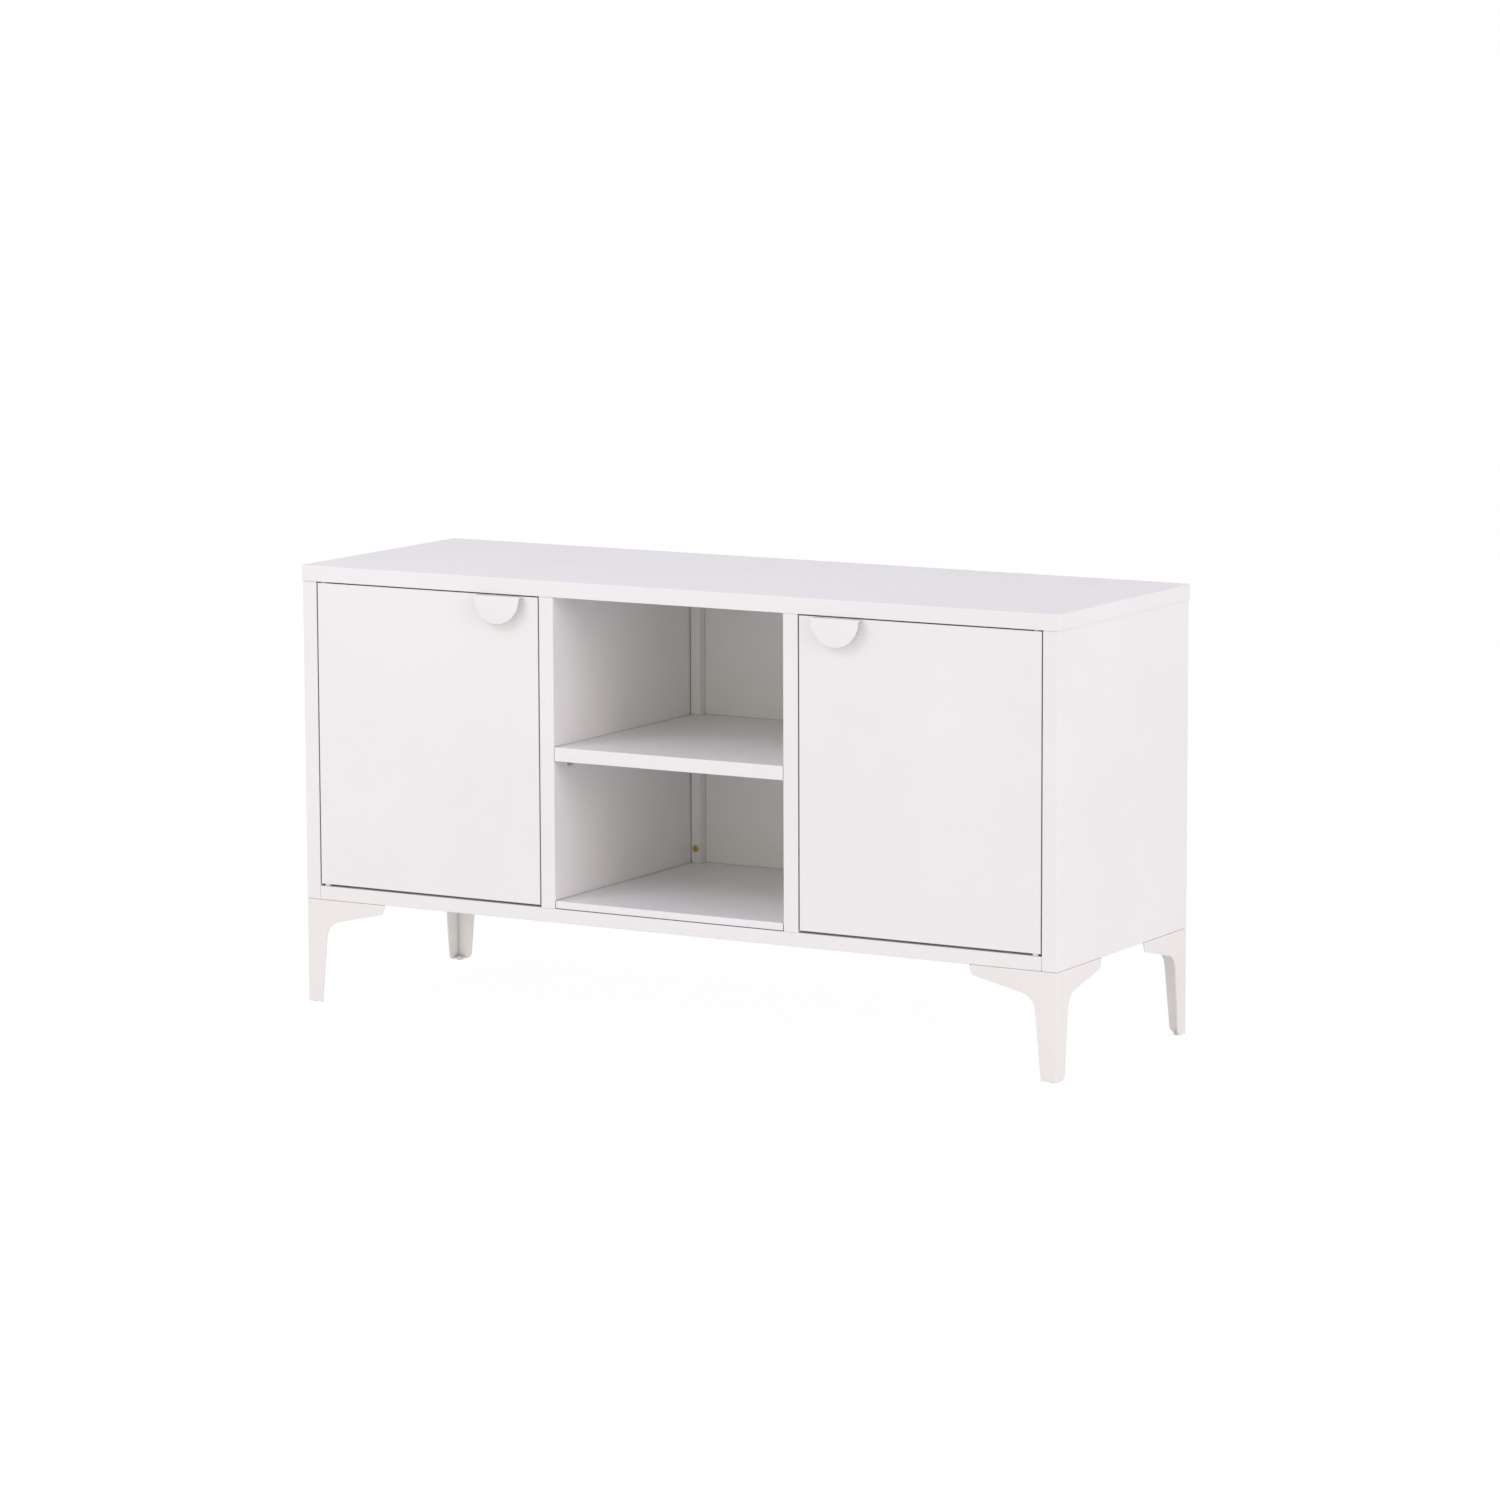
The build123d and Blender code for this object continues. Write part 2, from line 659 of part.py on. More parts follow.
for side_name, side in SIDES.items():
    make_door(f"door_{side_name}", side)
    make_door_stiffener(f"door_stiffener_{side_name}", side)
    make_handle(f"handle_{side_name}", side)
    make_hinge_bushes(f"hinge_bushes_{side_name}", side)
    make_hinge_pins(f"hinge_pins_{side_name}", side)


# ---------------------------------------------------------------- magnetic catches
def magnet_span(side):
    """Width, depth and height spans of the magnet in one catch."""
    middle = side * (divider_outer + catch_inset + catch_width / 2)
    face = door_rear + catch_gap
    centre_z = rail_bottom - catch_height / 2
    return (
        (middle - magnet_width / 2, middle + magnet_width / 2),
        (face, face + magnet_proud + magnet_depth),
        (centre_z - magnet_height / 2, centre_z + magnet_height / 2),
    )


for side_name, side in SIDES.items():
    near = divider_outer + catch_inset
    face = door_rear + catch_gap + magnet_proud
    with BuildPart() as housing:
        slab((side * near, side * (near + catch_width)), (face, face + catch_depth),
             (rail_bottom - catch_height, rail_bottom))
        fillet(housing.faces().sort_by(Axis.Z)[0].edges(), 1.0)
        slab(*magnet_span(side), Mode.SUBTRACT)
    housing.part.label = f"catch_housing_{side_name}"
    export_step(housing.part, f"parts/catch_housing_{side_name}.step")

with BuildPart() as catch_magnets:
    for side in SIDES.values():
        slab(*magnet_span(side))
catch_magnets.part.label = "catch_magnets"
export_step(catch_magnets.part, "parts/catch_magnets.step")


# ---------------------------------------------------------------- legs
def make_leg(name, side, end):
    """Folded leg: two tapering wings at a corner, a flange under the carcass and a tab over the glide."""
    x, y = leg_corner(side, end)
    stem = leg_height - stem_bottom
    outline = [
        (0, 0),
        (leg_reach, 0),
        (leg_reach - leg_end_slope, -leg_end_drop),
        (leg_crotch, -leg_crotch_drop),
        (leg_foot, -stem),
        (0, -stem),
    ]
    face_plane = Plane(origin=(x, y, leg_height), x_dir=(-side, 0, 0), z_dir=(0, side, 0))
    side_plane = Plane(origin=(x, y, leg_height), x_dir=(0, -end, 0), z_dir=(-end, 0, 0))
    wings = ((face_plane, -side * end, end > 0), (side_plane, side * end, True))
    with BuildPart() as leg:
        for plane, way, rounded_foot in wings:
            with BuildSketch(plane) as wing:
                with BuildLine():
                    Polyline(*outline, close=True)
                make_face()
                fillet(wing.vertices().sort_by_distance((leg_crotch, -leg_crotch_drop))[0], leg_crotch_radius)
                fillet(wing.vertices().sort_by_distance(outline[2])[0], leg_end_radius)
                if rounded_foot:
                    fillet(wing.vertices().sort_by_distance((leg_foot, -stem))[0], leg_foot_radius)
            extrude(amount=way * leg_sheet)
        flange_z = (leg_height - leg_sheet, leg_height)
        reach = leg_reach - leg_end_slope
        slab((x, x - side * reach), (y, y - end * leg_flange), flange_z)
        slab((x, x - side * leg_flange), (y, y - end * reach), flange_z)
        slab((x, x - side * foot_tab), (y, y - end * foot_tab), (stem_bottom, stem_bottom + leg_sheet))
        tab_corner = leg.edges().filter_by(Axis.Z).sort_by_distance(
            (x - side * foot_tab, y - end * foot_tab, stem_bottom))[0]
        fillet(tab_corner, leg_foot_radius)
        bend = leg.edges().filter_by(Axis.Z).sort_by_distance((x, y, leg_height / 2))[0]
        fillet(bend, leg_bend_radius)
        rim = leg.faces().sort_by(Axis.Z)[-1].edges()
        folds = [edge for edge in rim if min(abs(edge.center().X - x), abs(edge.center().Y - y)) < leg_sheet / 2]
        fillet(folds, leg_top_radius)
        for point in leg_bolt_points(side, end):
            rod(point, bolt_radius + bolt_gap, flange_z, Mode.SUBTRACT)
        rod(glide_point(side, end), screw_radius + thread_gap, (stem_bottom, stem_bottom + leg_sheet),
            Mode.SUBTRACT)
    leg.part.label = name
    export_step(leg.part, f"parts/{name}.step")


def make_glide(name, side, end):
    """Round plastic glide under one foot tab."""
    centre = glide_point(side, end)
    with BuildPart() as glide:
        rod(centre, glide_radius, (0, glide_height))
        chamfer(glide.faces().sort_by(Axis.Z)[0].edges(), glide_height / 4)
        rod(centre, screw_radius, (glide_height / 2, glide_height), Mode.SUBTRACT)
    glide.part.label = name
    export_step(glide.part, f"parts/{name}.step")


for end_name, end in ENDS.items():
    for side_name, side in SIDES.items():
        make_leg(f"leg_{end_name}_{side_name}", side, end)
        make_glide(f"glide_{end_name}_{side_name}", side, end)

leg_places = [(side, end) for end in ENDS.values() for side in SIDES.values()]
under_flange = leg_height - leg_sheet

with BuildPart() as leg_bolts:
    for side, end in leg_places:
        for point in leg_bolt_points(side, end):
            rod(point, bolt_head_radius, (under_flange - bolt_head, under_flange))
            rod(point, bolt_radius, (under_flange, under_flange + bolt_length))
            rod(point, bolt_radius / 2, (under_flange - bolt_head, under_flange - bolt_head / 2),
                Mode.SUBTRACT)
leg_bolts.part.label = "leg_bolts"
export_step(leg_bolts.part, "parts/leg_bolts.step")

with BuildPart() as leg_nuts:
    for side, end in leg_places:
        for point in leg_bolt_points(side, end):
            with BuildSketch(Plane.XY.offset(bottom + sheet)):
                with Locations(point):
                    RegularPolygon(nut_flats / 2, 6, major_radius=False)
                    Circle(bolt_radius + thread_gap, mode=Mode.SUBTRACT)
            extrude(amount=nut_height)
leg_nuts.part.label = "leg_nuts"
export_step(leg_nuts.part, "parts/leg_nuts.step")

with BuildPart() as glide_screws:
    for side, end in leg_places:
        centre = glide_point(side, end)
        head = stem_bottom + leg_sheet
        rod(centre, screw_head_radius, (head, head + 2 * screw_head))
        rod(centre, screw_radius, (glide_height / 2, head))
        rod(centre, screw_radius, (head + screw_head, head + 2 * screw_head), Mode.SUBTRACT)
glide_screws.part.label = "glide_screws"
export_step(glide_screws.part, "parts/glide_screws.step")
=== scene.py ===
"""White sheet-steel television stand: its coats and small fittings, with a floor, lights and a camera.

Laid out as an add-on and run as a script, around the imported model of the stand.
"""

import json
import math
import random

import bpy
from bpy.props import FloatProperty, FloatVectorProperty, PointerProperty
from mathutils import Matrix, Vector


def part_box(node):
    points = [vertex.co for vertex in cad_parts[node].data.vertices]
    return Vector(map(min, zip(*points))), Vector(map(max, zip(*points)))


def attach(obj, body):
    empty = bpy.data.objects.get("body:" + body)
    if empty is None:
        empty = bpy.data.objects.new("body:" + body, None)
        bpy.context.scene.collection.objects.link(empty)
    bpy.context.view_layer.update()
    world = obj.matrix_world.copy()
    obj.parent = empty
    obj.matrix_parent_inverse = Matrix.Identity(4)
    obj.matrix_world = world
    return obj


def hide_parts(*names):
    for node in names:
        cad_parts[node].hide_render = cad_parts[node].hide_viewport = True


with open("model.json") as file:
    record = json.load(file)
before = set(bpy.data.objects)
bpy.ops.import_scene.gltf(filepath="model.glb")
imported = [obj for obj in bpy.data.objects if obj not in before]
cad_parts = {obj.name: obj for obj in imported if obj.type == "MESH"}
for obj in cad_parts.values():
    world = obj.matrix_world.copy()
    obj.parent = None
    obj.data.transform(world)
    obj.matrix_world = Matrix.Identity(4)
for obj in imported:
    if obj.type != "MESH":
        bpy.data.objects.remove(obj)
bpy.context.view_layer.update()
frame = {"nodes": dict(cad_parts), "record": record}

bl_info = {
    "name": "Sheet-steel television stand",
    "version": (1, 0, 0),
    "blender": (4, 5, 0),
    "location": "3D View > Sidebar > Stand",
    "description": "Finishes and fits out a folded sheet-steel television stand, and sets up a plain studio",
    "category": "Object",
}

MM = 0.001
UP = Vector((0, 0, 1))
DOWN = Vector((0, 0, -1))
FORWARD = Vector((0, -1, 0))
BACKWARD = Vector((0, 1, 0))
SIDES = {"left": -1, "right": 1}

# Limits for picking and merging what lies at one place.
SAME_PLACE = 1e-6
NEAR = 1e-5
SMOOTH_ANGLE = math.radians(35)
QUARTER_TURN = math.pi / 2

# The Mix node's colour sockets, which share their names with its other sockets.
MIX_FIRST, MIX_SECOND, MIX_RESULT = 6, 7, 2

# Machine screws of 4 mm, and the fixings of the legs and the top.
SCREW_RADIUS = 2.0 * MM
SCREW_PITCH = 0.7 * MM
SCREW_HEAD_HEIGHT = 2.4 * MM
CUPBOARD_SCREW_LENGTH = 2.4 * MM
BOLT_RADIUS = 3.0 * MM
BOLT_PITCH = 1.0 * MM
BOLT_HEAD_HEIGHT = 3.3 * MM
LEG_NUT_FLATS, LEG_NUT_BORE = 10.0 * MM, 3.05 * MM
TOP_NUT_FLATS, TOP_NUT_BORE = 7.0 * MM, 2.05 * MM

# Folded sheet.
BACK_SHEET = 0.8 * MM
TAB_CLEARANCE = 13.0 * MM
PULL_SHEET, PULL_BEND = 1.5 * MM, 0.5 * MM
CLIP_SHEET, CLIP_BEND = 1.5 * MM, 0.8 * MM
CLIP_CORNER = 3.0 * MM

# Door catches.
PLATE_SHEET = 1.2 * MM
WELL_RADIUS, WELL_DEPTH, WELL_INSET = 2.4 * MM, 1.2 * MM, 3.5 * MM

# Cable grommets.
GROMMET_LIP = 1.6 * MM
GROMMET_BARREL = 25.0 * MM
GROMMET_BORE = 23.0 * MM

# The studio.
KEY_PLACE, KEY_TARGET, KEY_SIZE = (-1.3, -2.0, 2.4), (0, 0, 0.35), 1.1
RIGHT_PLACE, RIGHT_TARGET, RIGHT_SIZE = (4.2, -1.5, 1.9), (0.3, 0, 0.35), 1.8
PAPER_GLOW, PAPER_SHARE = 1.12, 0.7
SENSOR_WIDTH = 36.0
FAR_CLIP = 400.0
WHITE = (1, 1, 1, 1)


# ---------------------------------------------------------------- settings
class StandFinishes(bpy.types.PropertyGroup):
    """Colours and surface sizes of the stand's coats and fittings."""

    carcass_coat: FloatVectorProperty(
        name="Carcass coat", description="White powder coat of the carcass, doors and shelves",
        subtype="COLOR", size=3, min=0, max=1, default=(0.90, 0.89, 0.892))
    leg_coat: FloatVectorProperty(
        name="Leg coat", description="Slightly warmer white powder coat of the legs",
        subtype="COLOR", size=3, min=0, max=1, default=(0.89, 0.868, 0.848))
    coat_roughness: FloatProperty(
        name="Coat roughness", description="Roughness of the satin powder coat",
        subtype="FACTOR", min=0, max=1, default=0.42)
    # These two settings control painted shade, not dust. The coat's colour is darkened in seams, corners and
    # between parts, where little light reaches.
    painted_shade_reach: FloatProperty(
        name="Seam reach", description="How far the dust in a seam or a corner reaches out of it",
        unit="LENGTH", min=0, max=0.02, precision=4, default=0.0032)
    painted_seam_shade: FloatProperty(
        name="Seam shade", description="Brightness of the coat deep in a seam, as a share of the clean coat",
        min=0, max=1, default=0.3)
    peel_size: FloatProperty(
        name="Peel size", description="Width of one ripple of the coat's orange peel",
        unit="LENGTH", min=0.0002, max=0.01, default=0.0022)
    peel_depth: FloatProperty(
        name="Peel depth", description="Depth of the coat's orange peel",
        unit="LENGTH", min=0, max=0.001, default=0.00002)
    sheet_ripple: FloatProperty(
        name="Sheet ripple", description="How far the flat sheet waves between its folds",
        unit="LENGTH", min=0, max=0.002, default=0.00012)
    zinc: FloatVectorProperty(
        name="Bright zinc", description="Zinc plate of bolts, nuts, pins and clips",
        subtype="COLOR", size=3, min=0, max=1, default=(0.66, 0.675, 0.70))
    yellow_zinc: FloatVectorProperty(
        name="Yellow zinc", description="Yellow zinc plate of the centre back panel's screws",
        subtype="COLOR", size=3, min=0, max=1, default=(0.60, 0.46, 0.20))
    nylon: FloatVectorProperty(
        name="Natural nylon", description="Hinge bushes and catch housings",
        subtype="COLOR", size=3, min=0, max=1, default=(0.80, 0.79, 0.74))
    grommet_white: FloatVectorProperty(
        name="Grommet white", description="Moulded cable grommets",
        subtype="COLOR", size=3, min=0, max=1, default=(0.84, 0.84, 0.83))
    glide_grey: FloatVectorProperty(
        name="Glide grey", description="Moulded glides under the legs",
        subtype="COLOR", size=3, min=0, max=1, default=(0.42, 0.42, 0.41))
    ferrite: FloatVectorProperty(
        name="Ferrite", description="Catch magnets",
        subtype="COLOR", size=3, min=0, max=1, default=(0.06, 0.057, 0.055))


class StandStudio(bpy.types.PropertyGroup):
    """Camera, floor and light."""

    camera_place: FloatVectorProperty(
        name="Camera place", description="Where the camera stands",
        subtype="TRANSLATION", unit="LENGTH", size=3, default=(4.03298, -6.88858, 1.55417))
    camera_azimuth: FloatProperty(
        name="Camera azimuth", description="Turn of the camera round the stand, from straight in front",
        subtype="ANGLE", default=math.radians(30.22))
    camera_elevation: FloatProperty(
        name="Camera elevation", description="Height of the camera above the horizon, as an angle",
        subtype="ANGLE", default=math.radians(8.37))
    camera_roll: FloatProperty(
        name="Camera roll", description="Turn of the camera about its own view",
        subtype="ANGLE", default=math.radians(-0.2))
    camera_lens: FloatProperty(
        name="Lens", description="Focal length in millimetres, for a sensor 36 mm wide",
        min=10, max=400, default=138.95)
    floor_size: FloatProperty(
        name="Floor size", description="Width of the square floor",
        unit="LENGTH", min=4, max=400, default=120.0)
    key_colour: FloatVectorProperty(
        name="Key light", description="Radiance of the soft key light, up and to the left of the front",
        subtype="COLOR", size=3, min=0, soft_max=20, default=(4.4, 4.1, 4.0))
    right_colour: FloatVectorProperty(
        name="Right light", description="Radiance of the soft light beyond the right end",
        subtype="COLOR", size=3, min=0, soft_max=20, default=(3.5, 3.1, 3.16))
    horizon_colour: FloatVectorProperty(
        name="Horizon", description="Light of the room from all round, at eye height",
        subtype="COLOR", size=3, min=0, soft_max=2, default=(1.075, 1.06, 0.77))
    zenith_colour: FloatVectorProperty(
        name="Ceiling", description="Light of the room from straight above",
        subtype="COLOR", size=3, min=0, soft_max=2, default=(0.475, 0.46, 0.77))
    floor_glow: FloatProperty(
        name="Floor glow", description="Light that the white floor gives of itself",
        min=0, soft_max=2, default=0.3)


def finishes():
    return bpy.context.scene.stand_finishes


def studio():
    return bpy.context.scene.stand_studio


# ---------------------------------------------------------------- shader maths
class Wire:
    """One value in a shader's node tree. Arithmetic on it adds Math nodes."""

    def __init__(self, recipe, socket):
        self.recipe = recipe
        self.socket = socket

    def _sum(self, operation, first, second):
        return self.recipe.node("ShaderNodeMath", {"operation": operation}, {0: first, 1: second})

    def __add__(self, other):
        return self._sum("ADD", self, other)

    __radd__ = __add__

    def __mul__(self, other):
        return self._sum("MULTIPLY", self, other)

    __rmul__ = __mul__


class Recipe:
    """A node tree under construction: a material's or the world's."""

    def __init__(self, owner):
        owner.use_nodes = True
        self.tree = owner.node_tree
        self.tree.nodes.clear()

    def node(self, kind, settings=None, inputs=None, output=0):
        """Adds a node with its settings and the values or wires of its sockets, and returns one output."""
        made = self.tree.nodes.new(kind)
        for name, value in (settings or {}).items():
            if name == "stops":
                self._set_stops(made.color_ramp, value)
            else:
                setattr(made, name, value)
        for name, value in (inputs or {}).items():
            socket = made.inputs[name]
            if isinstance(value, Wire):
                self.tree.links.new(value.socket, socket)
            else:
                socket.default_value = value
        return Wire(self, made.outputs[output]) if made.outputs else None

    def _set_stops(self, ramp, stops):
        while len(ramp.elements) < len(stops):
            ramp.elements.new(0.5)
        for element, (position, colour) in zip(ramp.elements, stops):
            element.position = position
            element.color = colour

    def place(self):
        """Position on the piece, in metres."""
        return self.node("ShaderNodeTexCoord", output="Object")

    def noise(self, scale, detail=2.0, roughness=0.5):
        """Noise about 0.5, with this many ripples a metre."""
        return self.node("ShaderNodeTexNoise", {"normalize": True},
                         {"Vector": self.place(), "Scale": scale, "Detail": detail, "Roughness": roughness})

    def blend_colours(self, share, first, second):
        """Mix of two colours, by a share from 0 to 1."""
        return self.node("ShaderNodeMix", {"data_type": "RGBA", "clamp_factor": True},
                         {"Factor": share, MIX_FIRST: first, MIX_SECOND: second}, output=MIX_RESULT)

    def ramp(self, value, *stops):
        """Brightness by a value, through (position, brightness) stops."""
        greys = [(position, (grey, grey, grey, 1)) for position, grey in stops]
        return self.node("ShaderNodeValToRGB", {"stops": greys}, {"Fac": value})

    def bump(self, height, distance, strength=1.0, under=None):
        """Normal from a height map, over another normal if one is given."""
        inputs = {"Height": height, "Distance": distance, "Strength": strength}
        if under:
            inputs["Normal"] = under
        return self.node("ShaderNodeBump", None, inputs)

    def shader(self, **inputs):
        """A principled shader, its sockets named in lower case."""
        names = {key: key.replace("_", " ").title().replace("Ior", "IOR") for key in inputs}
        return self.node("ShaderNodeBsdfPrincipled", None, {names[key]: inputs[key] for key in inputs})

    def surface(self, **inputs):
        """The finished surface."""
        self.node("ShaderNodeOutputMaterial", None, {"Surface": self.shader(**inputs)})


def with_alpha(colour, gain=1.0):
    """A colour, brightened by a gain, with its alpha of 1."""
    return (colour[0] * gain, colour[1] * gain, colour[2] * gain, 1.0)


# ---------------------------------------------------------------- finishes
made_materials = {}


def material(name, build):
    """Makes a material once, under its own name."""
    if name not in made_materials:
        fresh = bpy.data.materials.new(name)
        build(Recipe(fresh))
        made_materials[name] = fresh
    return made_materials[name]


def powder_coat(name, colour, ripple_share=1.0):
    """Satin powder coat: orange peel, a little cloudiness, painted shade in seams and corners, and the slight
    waves of thin sheet.
    """
    settings = finishes()

    def build(recipe):
        peel = recipe.noise(1 / settings.peel_size, 2.0, 0.45)
        cloud = recipe.noise(4.0, 3.0, 0.55)
        speck = recipe.noise(1400.0, 1.0, 0.5)
        wave = recipe.noise(5.5, 1.0, 0.4)
        share = recipe.ramp(cloud * 0.85 + speck * 0.15, (0.3, 0), (0.7, 1))
        coat = recipe.blend_colours(share, with_alpha(colour, 0.978), with_alpha(colour, 1.012))
        # Painted shade: ambient occlusion darkens the base colour in seams, corners and gaps between parts,
        # where shade falls.
        openness = recipe.node("ShaderNodeAmbientOcclusion", {"samples": 6},
                               {"Distance": settings.painted_shade_reach}, output="AO")
        unshaded = recipe.ramp(openness, (0.12, 0), (0.78, 1))
        base = recipe.blend_colours(unshaded, with_alpha(colour, settings.painted_seam_shade), coat)
        smear = recipe.noise(26.0, 4.0, 0.6)
        rough = smear * 0.14 + speck * 0.06 + (settings.coat_roughness - 0.10)
        sheet = recipe.bump(wave, settings.sheet_ripple * ripple_share)
        skin = recipe.bump(peel, settings.peel_depth, under=sheet)
        recipe.surface(base_color=base, roughness=rough, normal=skin, ior=1.5, coat_weight=0.12,
                       coat_roughness=0.28)

    return material(name, build)


def plated_metal(name, colour, roughness):
    """Zinc plate over turned or pressed steel: faint streaks, fine grain and a little mottling."""

    def build(recipe):
        mottle = recipe.noise(420.0, 3.0, 0.6)
        grain = recipe.noise(2600.0, 1.0, 0.5)
        base = recipe.blend_colours(mottle, with_alpha(colour, 0.86), with_alpha(colour, 1.08))
        rough = mottle * 0.18 + grain * 0.08 + (roughness - 0.13)
        recipe.surface(base_color=base, metallic=1.0, roughness=rough, normal=recipe.bump(grain, 0.00001))

    return material(name, build)


def moulded_plastic(name, colour, roughness, translucent=0.0):
    """Moulded plastic with a fine spark-eroded texture and slight flow marks."""

    def build(recipe):
        flow = recipe.noise(90.0, 2.0, 0.5)
        texture = recipe.noise(2200.0, 2.0, 0.6)
        base = recipe.blend_colours(flow, with_alpha(colour, 0.94), with_alpha(colour, 1.04))
        rough = flow * 0.08 + texture * 0.1 + (roughness - 0.09)
        recipe.surface(base_color=base, roughness=rough, normal=recipe.bump(texture, 0.000015), ior=1.5,
                       subsurface_weight=translucent, subsurface_scale=0.002)

    return material(name, build)


def ferrite_block(name, colour):
    """Sintered magnet: near black, with fine pits."""

    def build(recipe):
        pits = recipe.noise(1500.0, 3.0, 0.7)
        base = recipe.blend_colours(pits, with_alpha(colour, 0.7), with_alpha(colour, 1.5))
        recipe.surface(base_color=base, roughness=pits * 0.25 + 0.45, normal=recipe.bump(pits, 0.00003))

    return material(name, build)


def carcass_white():
    return powder_coat("carcass_powder_coat", finishes().carcass_coat)


def leg_white():
    return powder_coat("leg_powder_coat", finishes().leg_coat, 0.2)


def bright_zinc():
    return plated_metal("bright_zinc_plate", finishes().zinc, 0.34)


def yellow_zinc():
    return plated_metal("yellow_zinc_plate", finishes().yellow_zinc, 0.36)


def natural_nylon():
    return moulded_plastic("natural_nylon", finishes().nylon, 0.42, 0.15)


def coat_all(piece, finish):
    """Gives a piece one finish all over."""
    piece.data.materials.clear()
    piece.data.materials.append(finish)


# ---------------------------------------------------------------- bench work
def clear_bench():
    """Object mode, with nothing selected."""
    if bpy.context.object and bpy.context.object.mode != "OBJECT":
        bpy.ops.object.mode_set(mode="OBJECT")
    bpy.ops.object.select_all(action="DESELECT")


def take_up(piece):
    """Selects one piece alone and makes it active."""
    clear_bench()
    piece.select_set(True)
    bpy.context.view_layer.objects.active = piece


def named(name, piece=None):
    """Names a piece, or the active one, and its mesh."""
    piece = piece or bpy.context.object
    piece.name = name
    piece.data.name = name
    return piece


def open_up(piece, vertices=False, edges=False, faces=False):
    """Opens a piece in edit mode, to work on its vertices, edges or faces."""
    take_up(piece)
    bpy.context.tool_settings.mesh_select_mode = (vertices, edges, faces)
    bpy.ops.object.mode_set(mode="EDIT")


def set_down():
    bpy.ops.object.mode_set(mode="OBJECT")


def fix_place():
    """Writes the active piece's place, turn and size into its mesh."""
    bpy.ops.object.transform_apply(location=True, rotation=True, scale=True)


def copy_of(piece):
    copy = piece.copy()
    copy.data = piece.data.copy()
    bpy.context.collection.objects.link(copy)
    return copy


def close_shell():
    """Merges what meets on the open piece, turns its faces outwards and closes it."""
    bpy.ops.mesh.select_all(action="SELECT")
    bpy.ops.mesh.remove_doubles(threshold=SAME_PLACE)
    bpy.ops.mesh.normals_make_consistent(inside=False)
    set_down()


def block(name, low, high):
    """A block between two corners, with its place in its mesh."""
    low, high = Vector(low), Vector(high)
    clear_bench()
    bpy.ops.mesh.primitive_cube_add(size=1, location=(low + high) / 2, scale=high - low)
    fix_place()
    return named(name)


def bar(name, radius, low, high, sides=48):
    """An upright bar on the Z axis between two heights."""
    clear_bench()
    bpy.ops.mesh.primitive_cylinder_add(
        vertices=sides, radius=radius, depth=high - low, location=(0, 0, (low + high) / 2))
    fix_place()
    return named(name)


def turned(name, profile, steps=32, ring=False):
    """A piece turned about the Z axis, from (radius, height) pairs. A ring's profile closes on itself."""
    clear_bench()
    bpy.ops.mesh.primitive_plane_add(size=MM, location=(0, 0, 0))
    piece = named(name)
    open_up(piece, vertices=True)
    bpy.ops.mesh.select_all(action="SELECT")
    bpy.ops.mesh.merge(type="CENTER")
    points = list(profile) + ([profile[0]] if ring else [])
    bpy.ops.transform.translate(value=(points[0][0], 0, points[0][1]))
    for (radius, height), (next_radius, next_height) in zip(points, points[1:]):
        step = (next_radius - radius, 0, next_height - height)
        bpy.ops.mesh.extrude_vertices_move(TRANSFORM_OT_translate={"value": step})
    bpy.ops.mesh.select_all(action="SELECT")
    bpy.ops.mesh.spin(steps=steps, angle=2 * math.pi, center=(0, 0, 0), axis=(0, 0, 1))
    close_shell()
    return piece


def drop_selection(mesh):
    for group in (mesh.vertices, mesh.edges, mesh.polygons):
        group.foreach_set("select", [False] * len(group))


def edit_faces(piece, test):
    """Opens the piece with the faces whose centre and normal pass the test selected."""
    drop_selection(piece.data)
    for face in piece.data.polygons:
        face.select = bool(test(face.center, face.normal))
    open_up(piece, faces=True)


def edit_edges(piece, test):
    """Opens the piece with the edges whose two ends pass the test selected."""
    drop_selection(piece.data)
    for edge in piece.data.edges:
        first, second = (piece.data.vertices[i].co for i in edge.vertices)
        edge.select = bool(test(first, second))
    open_up(piece, edges=True)


def extrude(step):
    bpy.ops.mesh.extrude_region_move(TRANSFORM_OT_translate={"value": step})


def cut(piece, tool, operation="DIFFERENCE"):
    """Cuts a piece with another, which is used up."""
    take_up(piece)
    modifier = piece.modifiers.new("cut", "BOOLEAN")
    modifier.object = tool
    modifier.operation = operation
    modifier.solver = "EXACT"
    bpy.ops.object.modifier_apply(modifier=modifier.name)
    bpy.data.objects.remove(tool)


def smooth(piece):
    take_up(piece)
    bpy.ops.object.shade_smooth_by_angle(angle=SMOOTH_ANGLE)


def ease(piece, width, segments=2, angle=40):
    """Rounds a piece's sharp edges, and smooths what is left."""
    take_up(piece)
    modifier = piece.modifiers.new("ease", "BEVEL")
    modifier.width = width
    modifier.segments = segments
    modifier.limit_method = "ANGLE"
    modifier.angle_limit = math.radians(angle)
    modifier.use_clamp_overlap = True
    bpy.ops.object.modifier_apply(modifier=modifier.name)
    smooth(piece)


def join(name, pieces):
    """Makes one piece of several."""
    clear_bench()
    for piece in pieces:
        piece.select_set(True)
    bpy.context.view_layer.objects.active = pieces[0]
    if len(pieces) > 1:
        bpy.ops.object.join()
    return named(name)


def set_out(name, master, places):
    """Copies the master to each (position, facing, turn), joins the copies, and puts the master away."""
    copies = []
    for position, facing, turn in places:
        copy = copy_of(master)
        facing_turn = facing.to_track_quat("Z", "Y").to_matrix().to_4x4()
        copy.matrix_world = Matrix.Translation(position) @ facing_turn @ Matrix.Rotation(turn, 4, "Z")
        take_up(copy)
        fix_place()
        copies.append(copy)
    bpy.data.objects.remove(master)
    return join(name, copies)


def fit(piece, body, slot, finish, *nodes):
    """Finishes a piece: its coat, the body it moves with and the nodes it stands for. The slot argument is
    not used.
    """
    coat_all(piece, finish)
    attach(piece, body)
    if nodes:
        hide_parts(*nodes)


